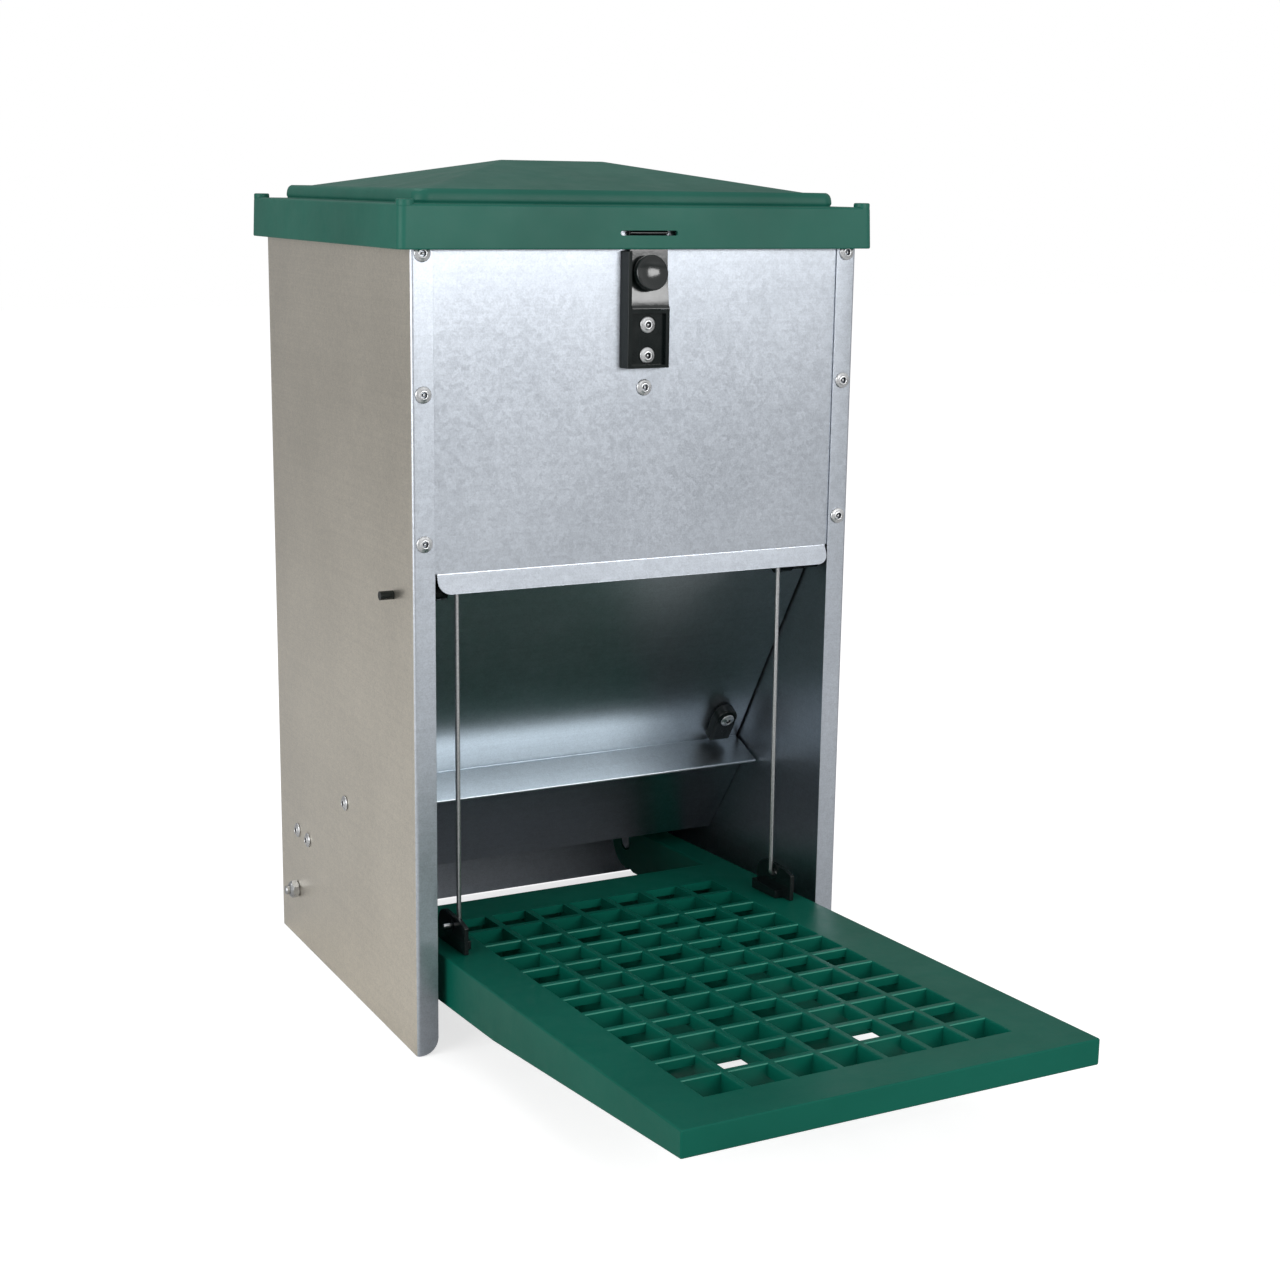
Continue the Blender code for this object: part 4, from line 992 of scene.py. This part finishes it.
def rod_path(side):
    """The middle line of a rod: up between two bends, with both ends turned outward."""
    foot = Vector((ROD_X, *ROD_FOOT))
    head = Vector((ROD_X, *ROD_HEAD))
    up = (head - foot).normalized()
    outward = Vector((1, 0, 0)) * ROD_BEND
    bends = []
    for corner, first, last in ((foot, outward, up * ROD_BEND), (head, -up * ROD_BEND, outward)):
        for step in range(9):
            turn = radians(90 * step / 8)
            bends.append(corner + first * (1 - sin(turn)) + last * (1 - cos(turn)))
    points = [Vector((ROD_END_X, *ROD_FOOT))] + bends + [Vector((ROD_END_X, *ROD_HEAD))]
    return [Vector((side * p.x, p.y, p.z)) for p in points]


def link_rod(side):
    """A round wire along the rod's path, its cut ends a little rounded."""
    points = rod_path(side)
    last = len(points) - 1
    end_rings = {0: [(0.78, 0.0), (1.0, 0.0004)], last: [(1.0, -0.0004), (0.78, 0.0)]}
    circle = arc((0, 0), ROD_RADIUS, 0, 360, ROD_SIDES)[:-1]
    shape = bmesh.new()
    rings = []
    for i, point in enumerate(points):
        run = (points[min(i + 1, last)] - points[max(i - 1, 0)]).normalized()
        out = run.cross(Vector((0, 1, 0))).normalized()
        other = run.cross(out)
        for share, shift in end_rings.get(i, [(1.0, 0.0)]):
            middle = point + run * shift
            rings.append([shape.verts.new(middle + share * (out * a + other * b))
                          for a, b in circle])
    join_rings(shape, rings)
    shape.faces.new(list(reversed(rings[0])))
    shape.faces.new(rings[-1])
    label = SIDE_NAMES[side]
    finish_piece("wire_rod_" + label, shape, WIRE, "rod_" + label,
                 ["link_rod_" + label], 45)


# Latch

def latch_guide():
    """The base riveted to the panel: a recess round its rivets, and a channel for the tongue."""
    back = FRONT_SHEET_Y - SHEET / 2 - GAP
    wide, narrow = GUIDE_HALVES
    base = [(-wide, back), (wide, back), (narrow, GUIDE_FRONT), (-narrow, GUIDE_FRONT)]
    guide = soften(prism(base, *GUIDE_Z, lambda x, y, z: (x, y, z)), 0.0005, 3, 40)
    half, corner = RECESS_HALF, RECESS_CORNER
    low, high = RECESS_Z
    corners = [(half - corner, low), (half, low + corner), (half, high - corner),
               (half - corner, high)]
    recess = prism(both_sides(corners), -0.02, RECESS_FLOOR, lambda x, z, y: (x, y, z))
    cuts = [("DIFFERENCE", recess), ("DIFFERENCE", block(*TONGUE_CHANNEL))]
    for z in LATCH_RIVETS_Z:
        cuts.append(("DIFFERENCE", drill(0.0027, 0.02, (0, 0, z), (0, 1, 0))))
    finish_piece("latch_guide", carve(guide, *cuts), BLACK, "body",
                 ["latch_base"])


def latch_tongue():
    """The springy strip, and the round push knob on it."""
    front = TONGUE_FRONT[:2] + [tuple(p) for p in rounded_path(TONGUE_FRONT[2:], 0.10, 4)]
    tongue = soften(prism(front + TONGUE_BEAD + TONGUE_BACK, *TONGUE_X), 0.0002, 2, 50)
    finish_piece("latch_strip", tongue, LATCH_BLACK, "latch_tongue",
                 ["latch_tongue"], 35)
    finish_piece("latch_button", turned(KNOB, KNOB_SEAT, KNOB_AXIS, 64), LATCH_BLACK,
                 "latch_tongue", ["latch_knob"], 40)


# Lid

def rounded_ring(half_x, half_y, radius, z):
    """A rectangle with round corners about the lid's middle."""
    ring = []
    for turn, (sx, sy) in ((0, (1, 1)), (90, (-1, 1)), (180, (-1, -1)), (270, (1, -1))):
        centre = (sx * (half_x - radius), LID_CENTRE_Y + sy * (half_y - radius))
        ring += [(x, y, z) for x, y in arc(centre, radius, turn, turn + 90, 8)]
    return ring


def lid_skin():
    """The outside of the lid: skirt, rim, roll and roof, with a softened ridge."""
    half_y = LID_CENTRE_Y - LID_FRONT
    shape = bmesh.new()
    loops = [[shape.verts.new(point) for point in
              rounded_ring(LID_SIDE - inset, half_y - inset, radius, z)]
             for inset, radius, z in LID_RINGS]
    join_rings(shape, loops)
    ridge = {1: shape.verts.new((RIDGE_HALF, LID_CENTRE_Y, RIDGE_Z)),
             -1: shape.verts.new((-RIDGE_HALF, LID_CENTRE_Y, RIDGE_Z))}
    top = loops[-1]
    for i in range(len(top)):
        j = (i + 1) % len(top)
        ends = [ridge[1 if vertex.co.x > 0 else -1] for vertex in (top[j], top[i])]
        shape.faces.new([top[i], top[j]] + (ends if ends[0] is not ends[1] else ends[:1]))
    ridges = [edge for edge in shape.edges if set(edge.verts) == set(ridge.values())]
    bmesh.ops.recalc_face_normals(shape, faces=shape.faces)
    if sum(face.normal.z for face in shape.faces) < 0:
        bmesh.ops.reverse_faces(shape, faces=shape.faces)
    bmesh.ops.bevel(shape, geom=ridges, offset=0.003, segments=3, profile=0.5, affect="EDGES")
    return shape


def lid_shell():
    """The lid's skin with its wall thickness, inwards."""
    skin = as_object(lid_skin())
    wall = skin.modifiers.new("wall", "SOLIDIFY")
    wall.thickness = LID_WALL
    wall.offset = -1
    wall.use_even_offset = True
    shell = modified(skin)
    bpy.data.objects.remove(skin)
    return shell


def lid_piece():
    """The lid with a peg at each corner, its hinge lugs, and the slot for the latch."""
    steps = []
    peg_x = LID_SIDE - PEG_INSET
    peg_y = LID_CENTRE_Y - LID_FRONT - PEG_INSET
    for sx in (-1, 1):
        for sy in (-1, 1):
            spot = (sx * peg_x, LID_CENTRE_Y + sy * peg_y, LID_RIM - 0.001)
            steps.append(("UNION", turned(LID_PEG, spot, (0, 0, 1), 28)))
    for side in (-1, 1):
        lug = prism(link_outline(HINGE_AXIS, LUG_RADII[0], LUG_TOP, LUG_RADII[1]),
                    side * HINGE_X - LUG_HALF, side * HINGE_X + LUG_HALF)
        bore = drill(0.0023, 0.02, (side * HINGE_X, *HINGE_AXIS), (1, 0, 0))
        steps += [("UNION", soften(lug, 0.0004, 2, 50)), ("DIFFERENCE", bore)]
    slot_x, slot_z = LID_SLOT
    slot = link_outline((-slot_x, slot_z), LID_SLOT_RADIUS, (slot_x, slot_z), LID_SLOT_RADIUS, 8)
    slot = prism(slot, LID_FRONT - 0.002, LID_FRONT + 0.006, lambda x, z, y: (x, y, z))
    steps.append(("DIFFERENCE", slot))
    finish_piece("lid_moulding", carve(lid_shell(), *steps), LID_PLASTIC, "lid",
                 ["lid"], 22)


# Build the pieces

def keep_cad_shape(name, look):
    """Leave a node's CAD shape as it is, and put a new material on it."""
    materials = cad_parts[name].data.materials
    materials.clear()
    materials.append(look)


front_wall()
inner_sheets()
trough_tray()
flap_sheet()
treadle_piece()
lid_piece()
latch_guide()
latch_tongue()
straight_rivets()
for side in (-1, 1):
    side_wall(side)
    stop_block(side)
    rod_clip(side)
    link_rod(side)
    flap_rivets(side)
    treadle_bolt(side)
    treadle_nut(side)
    treadle_spacer(side)
    keep_cad_shape("flap_pivot_" + SIDE_NAMES[side], BLACK)
    keep_cad_shape("hinge_bracket_" + SIDE_NAMES[side], PANEL_STEEL)
    keep_cad_shape("hinge_pin_" + SIDE_NAMES[side], ZINC)


# Camera, light and floor

def aim_camera():
    """A camera in front of the feeder, to its left, and about as high as its lid."""
    camera = bpy.data.objects.new("camera", bpy.data.cameras.new("camera"))
    bpy.context.scene.collection.objects.link(camera)
    camera.data.lens = LENS
    camera.data.sensor_width = SENSOR
    level = Matrix.Rotation(-YAW, 4, "Z") @ Matrix.Rotation(pi / 2 - PITCH, 4, "X")
    camera.matrix_world = Matrix.Translation(CAMERA_AT) @ level @ Matrix.Rotation(ROLL, 4, "Z")
    bpy.context.scene.camera = camera


def softbox(name, spot, target, width, height, power):
    """A rectangular light at a spot, turned to a target."""
    light = bpy.data.objects.new(name, bpy.data.lights.new(name, "AREA"))
    bpy.context.scene.collection.objects.link(light)
    light.data.shape = "RECTANGLE"
    light.data.size = width
    light.data.size_y = height
    light.data.energy = power
    light.location = spot
    aim = Vector(target) - Vector(spot)
    light.rotation_euler = aim.to_track_quat("-Z", "Y").to_euler()


def seen_directly(tree):
    """1 for what is looked at straight, 0 for what only lights the feeder or is mirrored in it."""
    return node(tree, "LightPath").outputs["Is Camera Ray"]


def studio_world():
    """A white room that is dimmer behind the feeder, and plain white where it is seen."""
    world = bpy.data.worlds.new("studio")
    world.use_nodes = True
    tree = world.node_tree
    way = node(tree, "SeparateXYZ", {"Vector": node(tree, "TexCoord").outputs["Generated"]})
    room = ramp(tree, way.outputs["Y"], WORLD_LIGHT, WORLD_BEHIND, -0.2, 0.6)
    glow = ramp(tree, seen_directly(tree), room, WORLD_SEEN)
    feed(tree, tree.nodes["Background"].inputs["Strength"], glow)
    tree.nodes["Background"].inputs["Color"].default_value = (1, 1, 1, 1)
    bpy.context.scene.world = world


def pale_floor():
    """A pale floor that shows the feeder's shadow and otherwise runs into the background."""
    bpy.ops.mesh.primitive_plane_add(size=14, location=(0, 0, -0.0005))
    floor = bpy.context.object
    floor.name = "floor"
    pale, tree, shader, place = new_material("pale_floor", 0.0, 0.2)
    ground = ramp(tree, noise(tree, place, 3.0), (0.54, 0.54, 0.54, 1), (0.58, 0.58, 0.58, 1))
    feed(tree, shader.inputs["Base Color"], ground)
    shader.inputs["Roughness"].default_value = 0.8
    shader.inputs["Emission Color"].default_value = (1, 1, 1, 1)
    feed(tree, shader.inputs["Emission Strength"],
         ramp(tree, seen_directly(tree), 0.0, FLOOR_LIFT))
    floor.data.materials.append(pale)


aim_camera()
softbox("front_softbox", (0.58, -1.85, 0.86), (0, 0, 0.44), 1.3, 0.5, 16.8)
softbox("top_softbox", (-0.5, 0.9, 2.0), (0, 0, 0.3), 1.0, 1.0, 7)
softbox("left_softbox", (-2.0, -0.5, 0.7), (0, -0.1, 0.1), 1.6, 1.2, 23)
studio_world()
pale_floor()
bpy.context.scene.view_settings.view_transform = "Standard"

bpy.context.view_layer.update()
